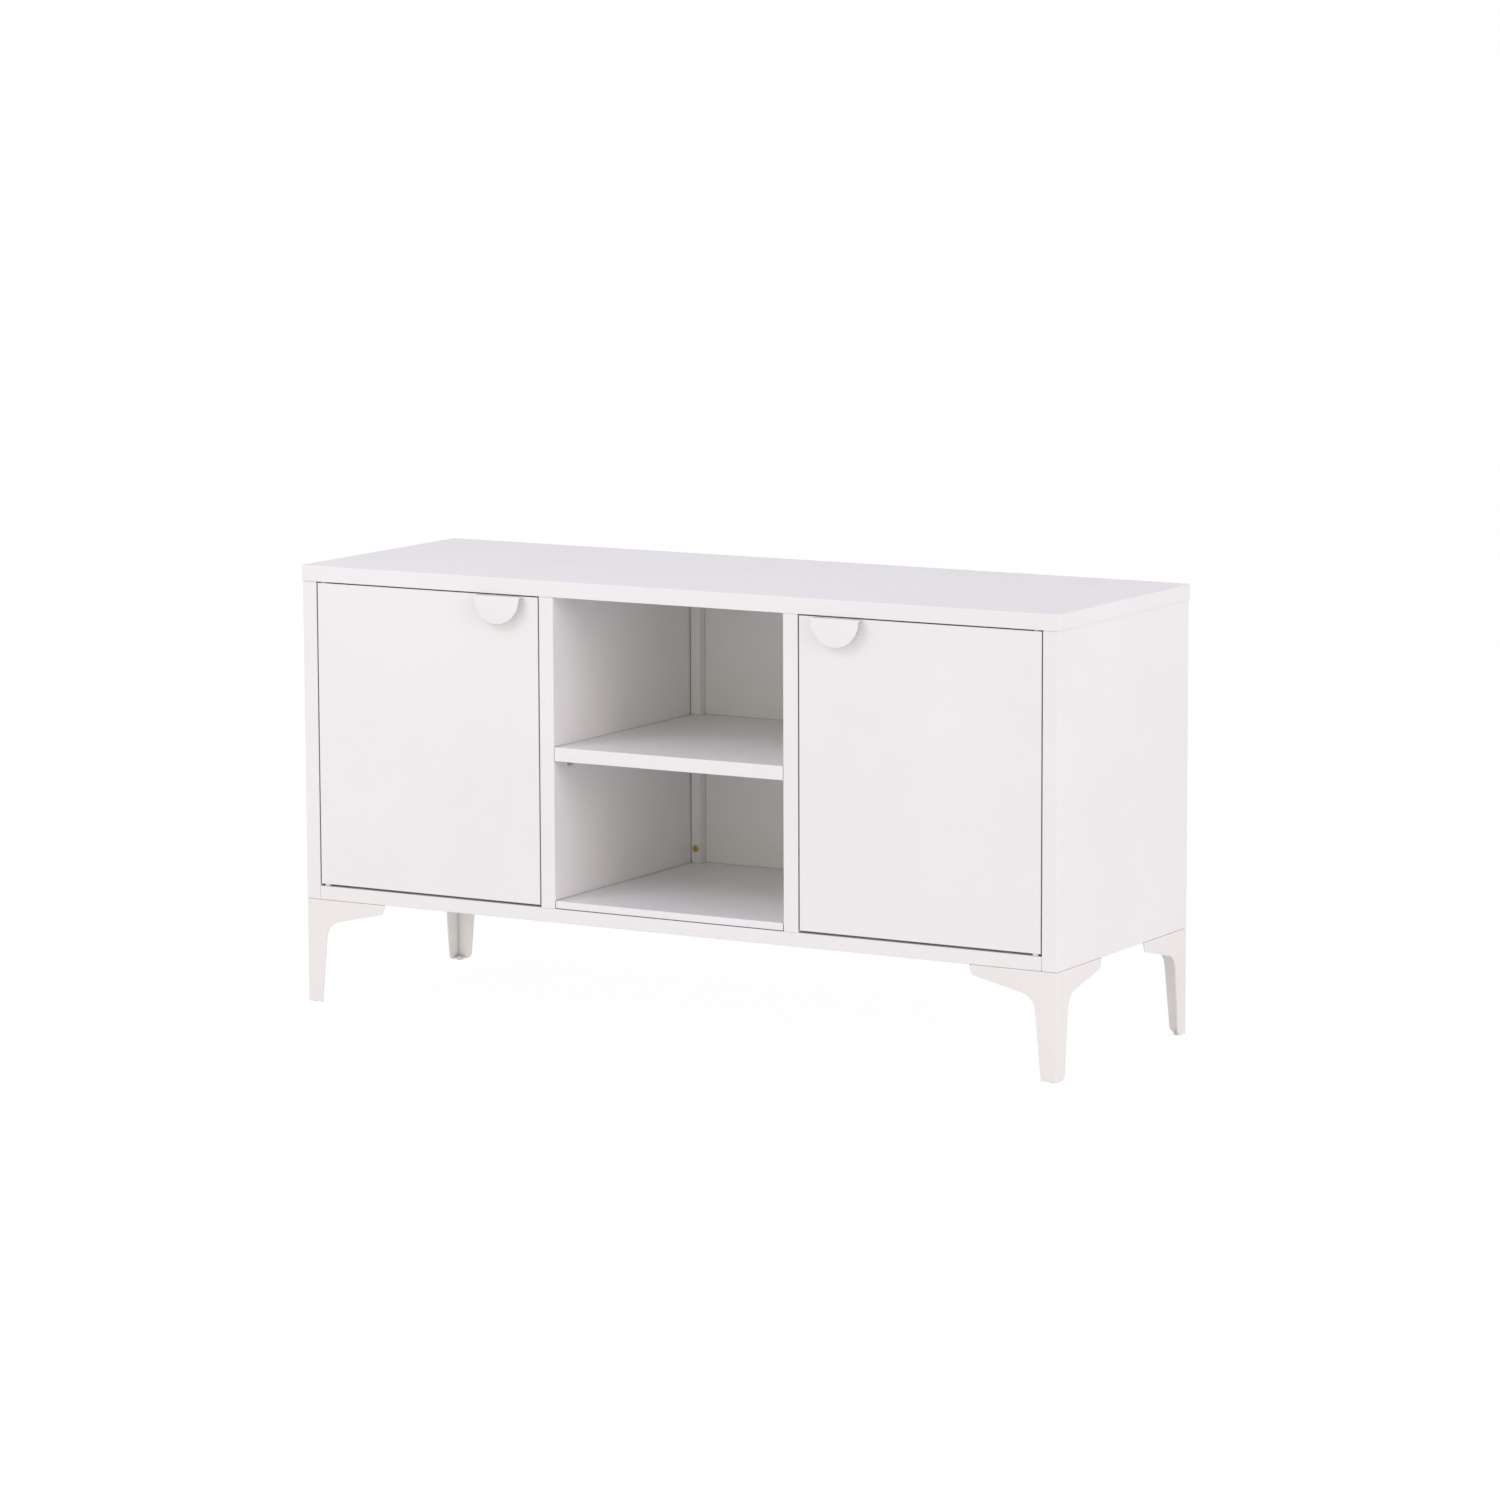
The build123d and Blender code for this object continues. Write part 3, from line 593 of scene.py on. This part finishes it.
def fit_zinc(piece, *nodes):
    """Fits a bright zinc-plated piece to the cabinet."""
    fit(piece, "cabinet", "zinc_plated_steel", bright_zinc(), *nodes)


def body_of_node(node):
    """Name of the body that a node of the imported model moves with."""
    for body, nodes in frame["record"]["behaviour"]["bodies"].items():
        if node in nodes:
            return body
    raise KeyError(node)


def solids_of(node):
    """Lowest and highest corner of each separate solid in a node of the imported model."""
    mesh = frame["nodes"][node].data
    owner = {}

    def root(key):
        while owner[key] != key:
            owner[key] = owner[owner[key]]
            key = owner[key]
        return key

    keys = [tuple(round(value, 5) for value in vertex.co) for vertex in mesh.vertices]
    for key in keys:
        owner.setdefault(key, key)
    for face in mesh.polygons:
        first = root(keys[face.vertices[0]])
        for index in face.vertices[1:]:
            owner[root(keys[index])] = first
    groups = {}
    for key in owner:
        groups.setdefault(root(key), []).append(key)
    boxes = []
    for points in groups.values():
        low = Vector(tuple(min(point[i] for point in points) for i in range(3)))
        high = Vector(tuple(max(point[i] for point in points) for i in range(3)))
        boxes.append((low, high))
    return sorted(boxes, key=lambda box: tuple(round(value, 4) for value in box[0]))


def middle(box):
    return (box[0] + box[1]) / 2


def quarter_round(*shares):
    """Cosine and sine at shares of a quarter turn, for the rounded part of a profile."""
    return [(math.cos(share * QUARTER_TURN), math.sin(share * QUARTER_TURN)) for share in shares]


# ---------------------------------------------------------------- fasteners
def thread(radius, start, end, pitch):
    """Crests and roots of a thread between two heights, as a turned profile."""
    root = radius - 0.3 * pitch
    count = max(1, int(abs(end - start) / pitch))
    step = (end - start) / count
    points = []
    for index in range(count):
        points.append((root, start + step * (index + 0.25)))
        points.append((radius, start + step * (index + 0.75)))
    return points


def cross_recess(screw, top, width, depth):
    """Cuts a tapered cross recess down from a height."""
    for turn in (0, QUARTER_TURN):
        blade = block("blade", (-width / 2, -width * 0.1, top - depth), (width / 2, width * 0.1, top + MM))
        edit_faces(blade, lambda centre, normal: normal.z < -0.9)
        bpy.ops.transform.resize(value=(0.42, 0.7, 1), center_override=(0, 0, top - depth))
        set_down()
        blade.rotation_euler = (0, 0, turn)
        take_up(blade)
        fix_place()
        cut(screw, blade)


def pan_head_screw(name, head_radius, head_height, radius, length, pitch):
    """Cross-recessed screw, seated at the origin with its head up."""
    tip = min(1.2 * MM, length * 0.4)
    profile = [(0, -length), (radius * 0.45, -length)]
    profile += thread(radius, -length + tip * 0.5, -0.3 * MM, pitch)
    profile += [(radius, 0), (head_radius * 0.96, 0), (head_radius, head_height * 0.18)]
    for across, along in quarter_round(0.0, 0.25, 0.5, 0.75, 1.0):
        profile.append((head_radius * (0.62 + 0.38 * across), head_height * (0.35 + 0.65 * along)))
    profile.append((0, head_height))
    screw = turned(name, profile, 36)
    cross_recess(screw, head_height, head_radius * 1.05, head_height * 0.72)
    smooth(screw)
    return screw


def button_head_bolt(name, head_radius, head_height, radius, length, pitch):
    """Hexagon-socket button-head bolt with a plain washer face, seated at the origin with its head up."""
    profile = [(0, -length), (radius * 0.8, -length)]
    profile += thread(radius, -length + 0.6 * MM, -1.0 * MM, pitch)
    profile += [(radius, -0.6 * MM), (radius, 0), (head_radius * 0.97, 0), (head_radius, head_height * 0.1)]
    for across, along in quarter_round(0.15, 0.35, 0.55, 0.75, 1.0):
        profile.append((head_radius * (0.48 + 0.52 * across), head_height * along))
    profile.append((0, head_height))
    bolt = turned(name, profile, 36)
    socket = bar("socket", radius * 0.74, head_height * 0.35, head_height + MM, 6)
    cut(bolt, socket)
    smooth(bolt)
    return bolt


def hexagon_nut(name, flats, height, bore):
    """Chamfered hexagon nut standing on the origin."""
    corner = flats / math.sqrt(3)
    nut = bar(name, corner, 0, height, 6)
    relief = (corner - flats / 2) * 0.6
    rim = turned("rim", [(0, 0), (flats * 0.48, 0), (corner, relief), (corner, height - relief),
                         (flats * 0.48, height), (0, height)], 48)
    cut(nut, rim, "INTERSECT")
    hole = bar("hole", bore, -MM, height + MM, 32)
    cut(nut, hole)
    edit_edges(nut, lambda first, second: all(
        abs(point.xy.length - bore) < NEAR and (point.z < SAME_PLACE or point.z > height - SAME_PLACE)
        for point in (first, second)))
    bpy.ops.mesh.bevel(offset=0.35 * MM, segments=1)
    set_down()
    smooth(nut)
    return nut


def seeded_turns(seed):
    """Endless angles, the same on every run, for how far each screw was tightened."""
    source = random.Random(seed)
    while True:
        yield source.uniform(0, 2 * math.pi)


def box_radius(box):
    return (box[1].x - box[0].x) / 2


def fit_nuts(name, node, flats, bore):
    """Fits a hexagon nut at each solid of a node."""
    boxes = solids_of(node)
    nut = hexagon_nut("nut", flats, boxes[0][1].z - boxes[0][0].z, bore)
    places = [((middle(b).x, middle(b).y, b[0].z), UP, 0.0) for b in boxes]
    fit_zinc(set_out(name, nut, places), node)


def body_screw(box, axis):
    """Screw of 4 mm that fills a solid's box along its length, seated at the origin with its head up."""
    length = getattr(box[1], axis) - getattr(box[0], axis) - SCREW_HEAD_HEIGHT
    return pan_head_screw("screw", box_radius(box), SCREW_HEAD_HEIGHT, SCREW_RADIUS, length, SCREW_PITCH)


class STAND_OT_leg_fixings(bpy.types.Operator):
    """Button-head bolts through the leg flanges, and the nuts inside the carcass"""

    bl_idname = "stand.leg_fixings"
    bl_label = "Leg bolts and nuts"

    def execute(self, context):
        turns = seeded_turns(11)
        boxes = solids_of("leg_bolts")
        length = boxes[0][1].z - boxes[0][0].z - BOLT_HEAD_HEIGHT
        head_radius = box_radius(boxes[0])
        bolt = button_head_bolt("bolt", head_radius, BOLT_HEAD_HEIGHT, BOLT_RADIUS, length, BOLT_PITCH)
        places = [((middle(b).x, middle(b).y, b[0].z + BOLT_HEAD_HEIGHT), DOWN, next(turns)) for b in boxes]
        fit_zinc(set_out("leg_button_bolts", bolt, places), "leg_bolts")
        fit_nuts("leg_hexagon_nuts", "leg_nuts", LEG_NUT_FLATS, LEG_NUT_BORE)
        return {"FINISHED"}


class STAND_OT_top_fixings(bpy.types.Operator):
    """Nuts on the studs under the top, and the screws that hold the dividers to the base"""

    bl_idname = "stand.top_fixings"
    bl_label = "Top nuts and divider screws"

    def execute(self, context):
        fit_nuts("top_hexagon_nuts", "top_nuts", TOP_NUT_FLATS, TOP_NUT_BORE)
        turns = seeded_turns(12)
        boxes = solids_of("divider_screws")
        screw = body_screw(boxes[0], "z")
        places = [((middle(b).x, middle(b).y, b[0].z + SCREW_HEAD_HEIGHT), DOWN, next(turns)) for b in boxes]
        fit_zinc(set_out("divider_pan_screws", screw, places), "divider_screws")
        return {"FINISHED"}


class STAND_OT_back_screws(bpy.types.Operator):
    """Yellow screws of the bay's back panel, and bright zinc-plated screws of the two cupboard backs"""

    bl_idname = "stand.back_screws"
    bl_label = "Back panel screws"

    def execute(self, context):
        turns = seeded_turns(13)
        boxes = solids_of("back_screws_centre")
        screw = body_screw(boxes[0], "y")
        places = [
            ((middle(b).x, b[0].y + SCREW_HEAD_HEIGHT, middle(b).z), FORWARD, next(turns)) for b in boxes]
        screws = set_out("bay_back_screws", screw, places)
        fit(screws, "cabinet", "yellow_zinc_steel", yellow_zinc(), "back_screws_centre")
        boxes = solids_of("back_screws_cupboards")
        low, high = boxes[0]
        screw = pan_head_screw("screw", box_radius(boxes[0]), high.y - low.y, SCREW_RADIUS,
                               CUPBOARD_SCREW_LENGTH, SCREW_PITCH)
        places = [((middle(b).x, b[0].y, middle(b).z), BACKWARD, next(turns)) for b in boxes]
        fit_zinc(set_out("cupboard_back_screws", screw, places), "back_screws_cupboards")
        return {"FINISHED"}


class STAND_OT_back_returns(bpy.types.Operator):
    """Returns folded back from the outer edges of the bay's back panel, notched round the dividers' tabs"""

    bl_idname = "stand.back_returns"
    bl_label = "Back panel returns"

    def execute(self, context):
        low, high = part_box("back_panel_centre")
        end_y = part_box("divider_right")[1].y - 1.2 * MM
        heights = [low.z]
        for screw_z in sorted({round(middle(box).z, 5) for box in solids_of("back_screws_centre")}):
            heights += [screw_z - TAB_CLEARANCE, screw_z + TAB_CLEARANCE]
        heights.append(high.z)
        strips = []
        for way in (-1, 1):
            near, far = sorted((way * high.x, way * (high.x - BACK_SHEET)))
            for start, end in zip(heights[::2], heights[1::2]):
                strip = block("return", (near, low.y + BACK_SHEET, start), (far, end_y, end))
                ease(strip, 0.25 * MM, 2, 50)
                strips.append(strip)
        fit(join("bay_back_returns", strips), "cabinet", "white_powder_coat", carcass_white())
        return {"FINISHED"}


# ---------------------------------------------------------------- glides
class STAND_OT_glides(bpy.types.Operator):
    """Moulded glides under the feet, and the screws that hold them"""

    bl_idname = "stand.glides"
    bl_label = "Glides"

    def execute(self, context):
        turns = seeded_turns(14)
        for end in ("front", "rear"):
            for side in SIDES:
                node = f"glide_{end}_{side}"
                low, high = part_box(node)
                radius = box_radius((low, high))
                height = high.z - low.z
                profile = [
                    (0, height * 0.2), (radius * 0.28, height * 0.2), (radius * 0.34, 0), (radius * 0.72, 0),
                    (radius * 0.88, height * 0.08), (radius * 0.97, height * 0.25), (radius, height * 0.48),
                    (radius * 0.985, height * 0.7), (radius * 0.93, height * 0.84), (radius * 0.93, height),
                    (radius * 0.2, height), (radius * 0.2, height * 0.5), (0, height * 0.5)]
                glide = turned("glide", profile, 48)
                smooth(glide)
                centre = middle((low, high))
                foot = set_out(f"foot_{end}_{side}", glide, [((centre.x, centre.y, low.z), UP, 0.0)])
                plastic = moulded_plastic("glide_plastic", finishes().glide_grey, 0.55)
                fit(foot, "cabinet", "dark_grey_plastic", plastic, node)
        boxes = solids_of("glide_screws")
        screw = body_screw(boxes[0], "z")
        places = [((middle(b).x, middle(b).y, b[1].z - SCREW_HEAD_HEIGHT), UP, next(turns)) for b in boxes]
        fit_zinc(set_out("foot_screws", screw, places), "glide_screws")
        return {"FINISHED"}


# ---------------------------------------------------------------- handles
class STAND_OT_handles(bpy.types.Operator):
    """Half-moon pulls, each one plate folded back through its door"""

    bl_idname = "stand.handles"
    bl_label = "Half-moon pulls"

    def execute(self, context):
        for side in SIDES:
            node = f"handle_{side}"
            low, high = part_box(node)
            radius = box_radius((low, high))
            centre = middle((low, high))
            bend_z = high.z - PULL_SHEET - PULL_BEND
            bend_y = low.y + PULL_SHEET + PULL_BEND
            clear_bench()
            bpy.ops.mesh.primitive_cylinder_add(
                vertices=96, radius=radius, depth=PULL_SHEET, rotation=(QUARTER_TURN, 0, 0),
                location=(centre.x, low.y + PULL_SHEET / 2, low.z + radius))
            fix_place()
            pull = named(f"pull_{side}")
            open_up(pull, edges=True)
            bpy.ops.mesh.select_all(action="SELECT")
            bpy.ops.mesh.bisect(plane_co=(0, 0, bend_z), plane_no=(0, 0, 1), use_fill=True, clear_outer=True)
            set_down()
            edit_faces(pull, lambda spot, normal: normal.z > 0.9 and spot.z > bend_z - NEAR)
            bpy.ops.mesh.spin(steps=8, angle=QUARTER_TURN, center=(centre.x, bend_y, bend_z), axis=(1, 0, 0))
            extrude((0, high.y - bend_y, 0))
            close_shell()
            ease(pull, 0.35 * MM, 3, 50)
            fit(pull, body_of_node(node), "white_powder_coat", carcass_white(), node)
        return {"FINISHED"}


# ---------------------------------------------------------------- hinges
def seat_pivot(name, profile, low, high, lower, ring=False):
    """Turns one pivot piece and seats it in its box: upright at the door's foot, upside down at its head."""
    piece = turned(name, profile, ring=ring)
    smooth(piece)
    centre = middle((low, high))
    spot, facing = ((centre.x, centre.y, low.z), UP) if lower else ((centre.x, centre.y, high.z), DOWN)
    return set_out(name, piece, [(spot, facing, 0)])


class STAND_OT_hinges(bpy.types.Operator):
    """Headed pivot pins in the carcass, and the flanged nylon bushes that turn on them"""

    bl_idname = "stand.hinges"
    bl_label = "Door pivots"

    def execute(self, context):
        for side in SIDES:
            node = f"hinge_pins_{side}"
            pins = []
            for index, (low, high) in enumerate(solids_of(node)):
                head = box_radius((low, high))
                length = high.z - low.z
                profile = [
                    (0, 0), (head * 0.7, 0), (head * 0.94, 0.25 * MM), (head, 0.6 * MM), (head, 1.2 * MM),
                    (2.0 * MM, 1.2 * MM), (2.0 * MM, length - 0.8 * MM), (1.3 * MM, length), (0, length)]
                pins.append(seat_pivot("pin", profile, low, high, index == 0))
            fit_zinc(join(f"pivot_pins_{side}", pins), node)
            node = f"hinge_bushes_{side}"
            bushes = []
            for index, (low, high) in enumerate(solids_of(node)):
                flange = box_radius((low, high))
                length = high.z - low.z
                bore, body = 2.05 * MM, 3.5 * MM
                collar = 3.1 * MM if index == 0 else 1.0 * MM
                profile = [
                    (bore + 0.3 * MM, 0), (flange * 0.93, 0), (flange, collar * 0.15), (flange, collar),
                    (body, collar), (body, length - 0.8 * MM), (body - 0.5 * MM, length),
                    (bore + 0.25 * MM, length), (bore, length - 0.3 * MM), (bore, 0.3 * MM)]
                bushes.append(seat_pivot("bush", profile, low, high, index == 0, ring=True))
            both = join(f"pivot_bushes_{side}", bushes)
            fit(both, body_of_node(node), "white_nylon", natural_nylon(), node)
        return {"FINISHED"}


# ---------------------------------------------------------------- catches
class STAND_OT_catches(bpy.types.Operator):
    """Magnetic catches: moulded housings, ferrite blocks between steel plates, and their screws"""

    bl_idname = "stand.catches"
    bl_label = "Magnetic catches"

    def execute(self, context):
        magnets, plates = [], []
        for low, high in solids_of("catch_magnets"):
            core_low = low + Vector((0, 0.5 * MM, PLATE_SHEET))
            core = block("magnet", core_low, high - Vector((0, 0, PLATE_SHEET)))
            ease(core, 0.3 * MM)
            magnets.append(core)
            for base, top in (
                    (low.z + 0.1 * MM, low.z + PLATE_SHEET), (high.z - PLATE_SHEET, high.z - 0.1 * MM)):
                plate = block("plate", (low.x + 0.3 * MM, low.y, base), (high.x - 0.3 * MM, high.y, top))
                ease(plate, 0.25 * MM)
                plates.append(plate)
        ferrite = ferrite_block("ferrite_magnet", finishes().ferrite)
        fit(join("catch_ferrites", magnets), "cabinet", "magnet", ferrite, "catch_magnets")
        fit_zinc(join("catch_pole_plates", plates))
        spots = []
        for side, sign in SIDES.items():
            node = f"catch_housing_{side}"
            low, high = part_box(node)
            housing = block("housing", low, high)
            edit_edges(housing, lambda first, second: abs(first.z - second.z) > 5 * MM)
            bpy.ops.mesh.bevel(offset=2.5 * MM, segments=5)
            set_down()
            for magnet_low, magnet_high in solids_of("catch_magnets"):
                if magnet_low.x * sign > 0:
                    gap = Vector((0.2, 0, 0.2)) * MM
                    pocket = block("pocket", magnet_low - gap - Vector((0, MM, 0)), magnet_high + gap)
                    cut(housing, pocket)
            for end_x in (low.x + WELL_INSET, high.x - WELL_INSET):
                spots.append((end_x, (low.y + high.y) / 2, low.z + WELL_DEPTH))
                well = bar("well", WELL_RADIUS, low.z - MM, low.z + WELL_DEPTH, 24)
                well.location = (end_x, (low.y + high.y) / 2, 0)
                take_up(well)
                fix_place()
                cut(housing, well)
            ease(housing, 0.35 * MM, 2, 50)
            fit(named(f"catch_body_{side}", housing), "cabinet", "white_nylon", natural_nylon(), node)
        turns = seeded_turns(15)
        screw = pan_head_screw("screw", 2.1 * MM, 1.0 * MM, 1.3 * MM, 4.0 * MM, 0.6 * MM)
        fit_zinc(set_out("catch_screws", screw, [(Vector(spot), DOWN, next(turns)) for spot in spots]))
        return {"FINISHED"}


# ---------------------------------------------------------------- shelf clips
def angle_clip(name, reach, width, height):
    """Folded angle clip on the wall x = 0, its shelf leg towards +X and its top at z = 0."""
    bend = CLIP_SHEET + CLIP_BEND
    clip = block(name, (0, -width / 2, -height), (CLIP_SHEET, width / 2, -bend))
    edit_faces(clip, lambda centre, normal: normal.z > 0.9)
    bpy.ops.mesh.spin(steps=6, angle=QUARTER_TURN, center=(bend, 0, -bend), axis=(0, -1, 0))
    extrude((reach - bend, 0, 0))
    close_shell()

    def is_corner(first, second):
        """Whether an edge runs through the sheet at a free end, at one height or one reach."""
        step = second - first
        foot = abs(step.z) < SAME_PLACE and first.z < -height + NEAR
        tip = abs(step.x) < SAME_PLACE and first.x > reach - NEAR
        return abs(step.y) < SAME_PLACE and (foot or tip)

    edit_edges(clip, is_corner)
    bpy.ops.mesh.bevel(offset=CLIP_CORNER, segments=5)
    set_down()
    ease(clip, 0.2 * MM, 2, 50)
    return clip


class STAND_OT_shelf_clips(bpy.types.Operator):
    """Angle clips that carry the shelves, and their screws"""

    bl_idname = "stand.shelf_clips"
    bl_label = "Shelf clips"

    def execute(self, context):
        bay_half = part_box("divider_right")[0].x
        outer_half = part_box("side_panel_right")[1].x
        cupboard_middle = (bay_half + outer_half) / 2
        turns = seeded_turns(16)
        screw_places = []
        for room, pieces in (("centre", "bay_angle_clips"), ("cupboard", "cupboard_angle_clips")):
            node = f"{room}_shelf_clips"
            boxes = solids_of(node)
            low, high = boxes[0]
            clip = angle_clip("clip", high.x - low.x, high.y - low.y, high.z - low.z)
            places = []
            for box in boxes:
                centre = middle(box)
                out = 1 if centre.x > 0 else -1
                way = -out if room == "centre" or abs(centre.x) > cupboard_middle else out
                wall = box[0].x if way > 0 else box[1].x
                places.append(((wall, centre.y, box[1].z), way))
                spot = Vector((wall + way * CLIP_SHEET, centre.y, (box[0].z + box[1].z) / 2))
                screw_places.append((spot, Vector((way, 0, 0)), next(turns)))
            copies = []
            for position, way in places:
                copy = copy_of(clip)
                copy.location = position
                copy.rotation_euler = (0, 0, 0 if way > 0 else math.pi)
                take_up(copy)
                fix_place()
                copies.append(copy)
            bpy.data.objects.remove(clip)
            fit_zinc(join(pieces, copies), node)
        screw = pan_head_screw("screw", 3.0 * MM, 2.3 * MM, SCREW_RADIUS, CLIP_SHEET, SCREW_PITCH)
        fit_zinc(set_out("clip_pan_screws", screw, screw_places), "clip_screws")
        return {"FINISHED"}


# ---------------------------------------------------------------- grommets
class STAND_OT_grommets(bpy.types.Operator):
    """Rounded cable grommets in the bay's back panel"""

    bl_idname = "stand.grommets"
    bl_label = "Cable grommets"

    def execute(self, context):
        for port in ("upper", "lower"):
            node = f"cable_grommet_{port}"
            low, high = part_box(node)
            flange = box_radius((low, high))
            inner_end = GROMMET_LIP - (high.y - low.y)
            profile = [(GROMMET_BARREL, 0), (flange - 0.8 * MM, 0)]
            for across, along in quarter_round(0.0, 0.33, 0.66, 1.0):
                profile.append((flange - 0.9 * MM + 0.9 * MM * across, 0.5 * MM + 0.9 * MM * along))
            crown = GROMMET_LIP * 0.9
            profile += [(flange - 2.4 * MM, GROMMET_LIP), (GROMMET_BORE + 1.6 * MM, crown)]
            for across, along in quarter_round(0.25, 0.5, 0.75, 1.0):
                profile.append((GROMMET_BORE + 1.3 * MM * (1 - along), crown - 1.3 * MM * (1 - across)))
            profile += [
                (GROMMET_BORE, inner_end), (GROMMET_BARREL - 0.9 * MM, inner_end),
                (GROMMET_BARREL, inner_end + 1.2 * MM), (GROMMET_BARREL - 0.35 * MM, -1.6 * MM),
                (GROMMET_BARREL - 0.35 * MM, -0.9 * MM)]
            ring = turned("ring", profile, 96, ring=True)
            smooth(ring)
            centre = middle((low, high))
            seat = (centre.x, low.y + GROMMET_LIP, centre.z)
            grommet = set_out(f"port_ring_{port}", ring, [(seat, FORWARD, 0.0)])
            plastic = moulded_plastic("grommet_plastic", finishes().grommet_white, 0.4, 0.05)
            fit(grommet, "cabinet", "white_plastic", plastic, node)
        return {"FINISHED"}


# ---------------------------------------------------------------- sheet metal
class STAND_OT_sheet_metal(bpy.types.Operator):
    """Powder coat on the carcass, the doors, the shelves and the legs"""

    bl_idname = "stand.sheet_metal"
    bl_label = "Coat the sheet metal"

    def execute(self, context):
        slots = {part["node"]: part["material_slot"] for part in frame["record"]["subparts"]}
        finish_of_slot = {"white_powder_coat": carcass_white, "leg_powder_coat": leg_white}
        for node, piece in frame["nodes"].items():
            if slots[node] in finish_of_slot:
                coat_all(piece, finish_of_slot[slots[node]]())
        return {"FINISHED"}


# ---------------------------------------------------------------- studio
def aim(thing, target):
    """Turns a lamp towards a point."""
    thing.rotation_euler = (Vector(target) - thing.location).to_track_quat("-Z", "Y").to_euler()


def softbox(name, place, target, width, colour):
    """A square soft light of a given radiance."""
    lamp = bpy.data.lights.new(name, "AREA")
    lamp.shape = "SQUARE"
    lamp.size = width
    peak = max(*colour, SAME_PLACE)
    lamp.color = [value / peak for value in colour]
    lamp.energy = peak * width * width * math.pi
    thing = bpy.data.objects.new(name, lamp)
    thing.location = place
    aim(thing, target)
    bpy.context.collection.objects.link(thing)


class STAND_OT_stage(bpy.types.Operator):
    """Pale floor, soft light all round, and the camera"""

    bl_idname = "stand.stage"
    bl_label = "Floor, light and camera"

    def execute(self, context):
        settings = studio()
        scene = context.scene
        clear_bench()
        bpy.ops.mesh.primitive_plane_add(size=settings.floor_size, location=(0, 0, 0))
        floor = named("studio_floor")

        def build_floor(recipe):
            haze = recipe.noise(0.7, 2.0, 0.5)
            base = recipe.blend_colours(haze, (0.60, 0.60, 0.60, 1), (0.615, 0.615, 0.615, 1))
            board = recipe.shader(base_color=base, roughness=0.85, specular_ior_level=0.1,
                                  emission_color=WHITE, emission_strength=settings.floor_glow)
            paper = recipe.node("ShaderNodeEmission", None, {"Color": WHITE, "Strength": PAPER_GLOW})
            seen = recipe.node("ShaderNodeLightPath", output="Is Camera Ray")
            both = recipe.node("ShaderNodeMixShader", None, {0: seen * PAPER_SHARE, 1: board, 2: paper})
            recipe.node("ShaderNodeOutputMaterial", None, {"Surface": both})

        coat_all(floor, material("studio_floor_white", build_floor))

        world = bpy.data.worlds.new("studio_room")
        scene.world = world
        recipe = Recipe(world)
        direction = recipe.node("ShaderNodeTexCoord", output="Generated")
        height = recipe.node("ShaderNodeSeparateXYZ", None, {"Vector": direction}, output="Z")
        rise = recipe.node("ShaderNodeClamp", None, {"Value": height})
        horizon, zenith = with_alpha(settings.horizon_colour), with_alpha(settings.zenith_colour)
        room = recipe.blend_colours(rise, horizon, zenith)
        seen = recipe.node("ShaderNodeLightPath", output="Is Camera Ray")
        colour = recipe.blend_colours(seen, room, WHITE)
        background = recipe.node("ShaderNodeBackground", None, {"Color": colour, "Strength": 1.0})
        recipe.node("ShaderNodeOutputWorld", None, {"Surface": background})

        softbox("key_softbox", KEY_PLACE, KEY_TARGET, KEY_SIZE, settings.key_colour)
        softbox("right_softbox", RIGHT_PLACE, RIGHT_TARGET, RIGHT_SIZE, settings.right_colour)

        lens = bpy.data.cameras.new("studio_camera")
        lens.lens = settings.camera_lens
        lens.sensor_width = SENSOR_WIDTH
        lens.clip_end = FAR_CLIP
        camera = bpy.data.objects.new("studio_camera", lens)
        azimuth, elevation = settings.camera_azimuth, settings.camera_elevation
        back = Vector((math.sin(azimuth) * math.cos(elevation), -math.cos(azimuth) * math.cos(elevation),
                       math.sin(elevation)))
        right = Vector((math.cos(azimuth), math.sin(azimuth), 0))
        up = back.cross(right)
        tilt = Matrix.Rotation(settings.camera_roll, 3, back)
        axes = Matrix((tilt @ right, tilt @ up, back)).transposed()
        camera.matrix_world = Matrix.Translation(settings.camera_place) @ axes.to_4x4()
        scene.collection.objects.link(camera)
        scene.camera = camera
        scene.view_settings.view_transform = "Standard"
        return {"FINISHED"}


# ---------------------------------------------------------------- panel
STEPS = (
    STAND_OT_sheet_metal,
    STAND_OT_handles,
    STAND_OT_hinges,
    STAND_OT_catches,
    STAND_OT_shelf_clips,
    STAND_OT_grommets,
    STAND_OT_back_screws,
    STAND_OT_back_returns,
    STAND_OT_top_fixings,
    STAND_OT_leg_fixings,
    STAND_OT_glides,
    STAND_OT_stage,
)


class STAND_PT_bench(bpy.types.Panel):
    """Sidebar panel with the stand's settings and building steps"""

    bl_idname = "STAND_PT_bench"
    bl_label = "Television stand"
    bl_space_type = "VIEW_3D"
    bl_region_type = "UI"
    bl_category = "Stand"

    def draw(self, context):
        for group in (context.scene.stand_finishes, context.scene.stand_studio):
            column = self.layout.column()
            for name in group.__annotations__:
                column.prop(group, name)
        for step in STEPS:
            self.layout.operator(step.bl_idname)


CLASSES = (StandFinishes, StandStudio) + STEPS + (STAND_PT_bench,)


def register():
    for made in CLASSES:
        bpy.utils.register_class(made)
    bpy.types.Scene.stand_finishes = PointerProperty(type=StandFinishes)
    bpy.types.Scene.stand_studio = PointerProperty(type=StandStudio)


def unregister():
    del bpy.types.Scene.stand_studio
    del bpy.types.Scene.stand_finishes
    for made in reversed(CLASSES):
        bpy.utils.unregister_class(made)


def main():
    """Builds the stand step by step."""
    register()
    for step in STEPS:
        group, name = step.bl_idname.split(".")
        getattr(getattr(bpy.ops, group), name)()


if __name__ == "__main__":
    main()
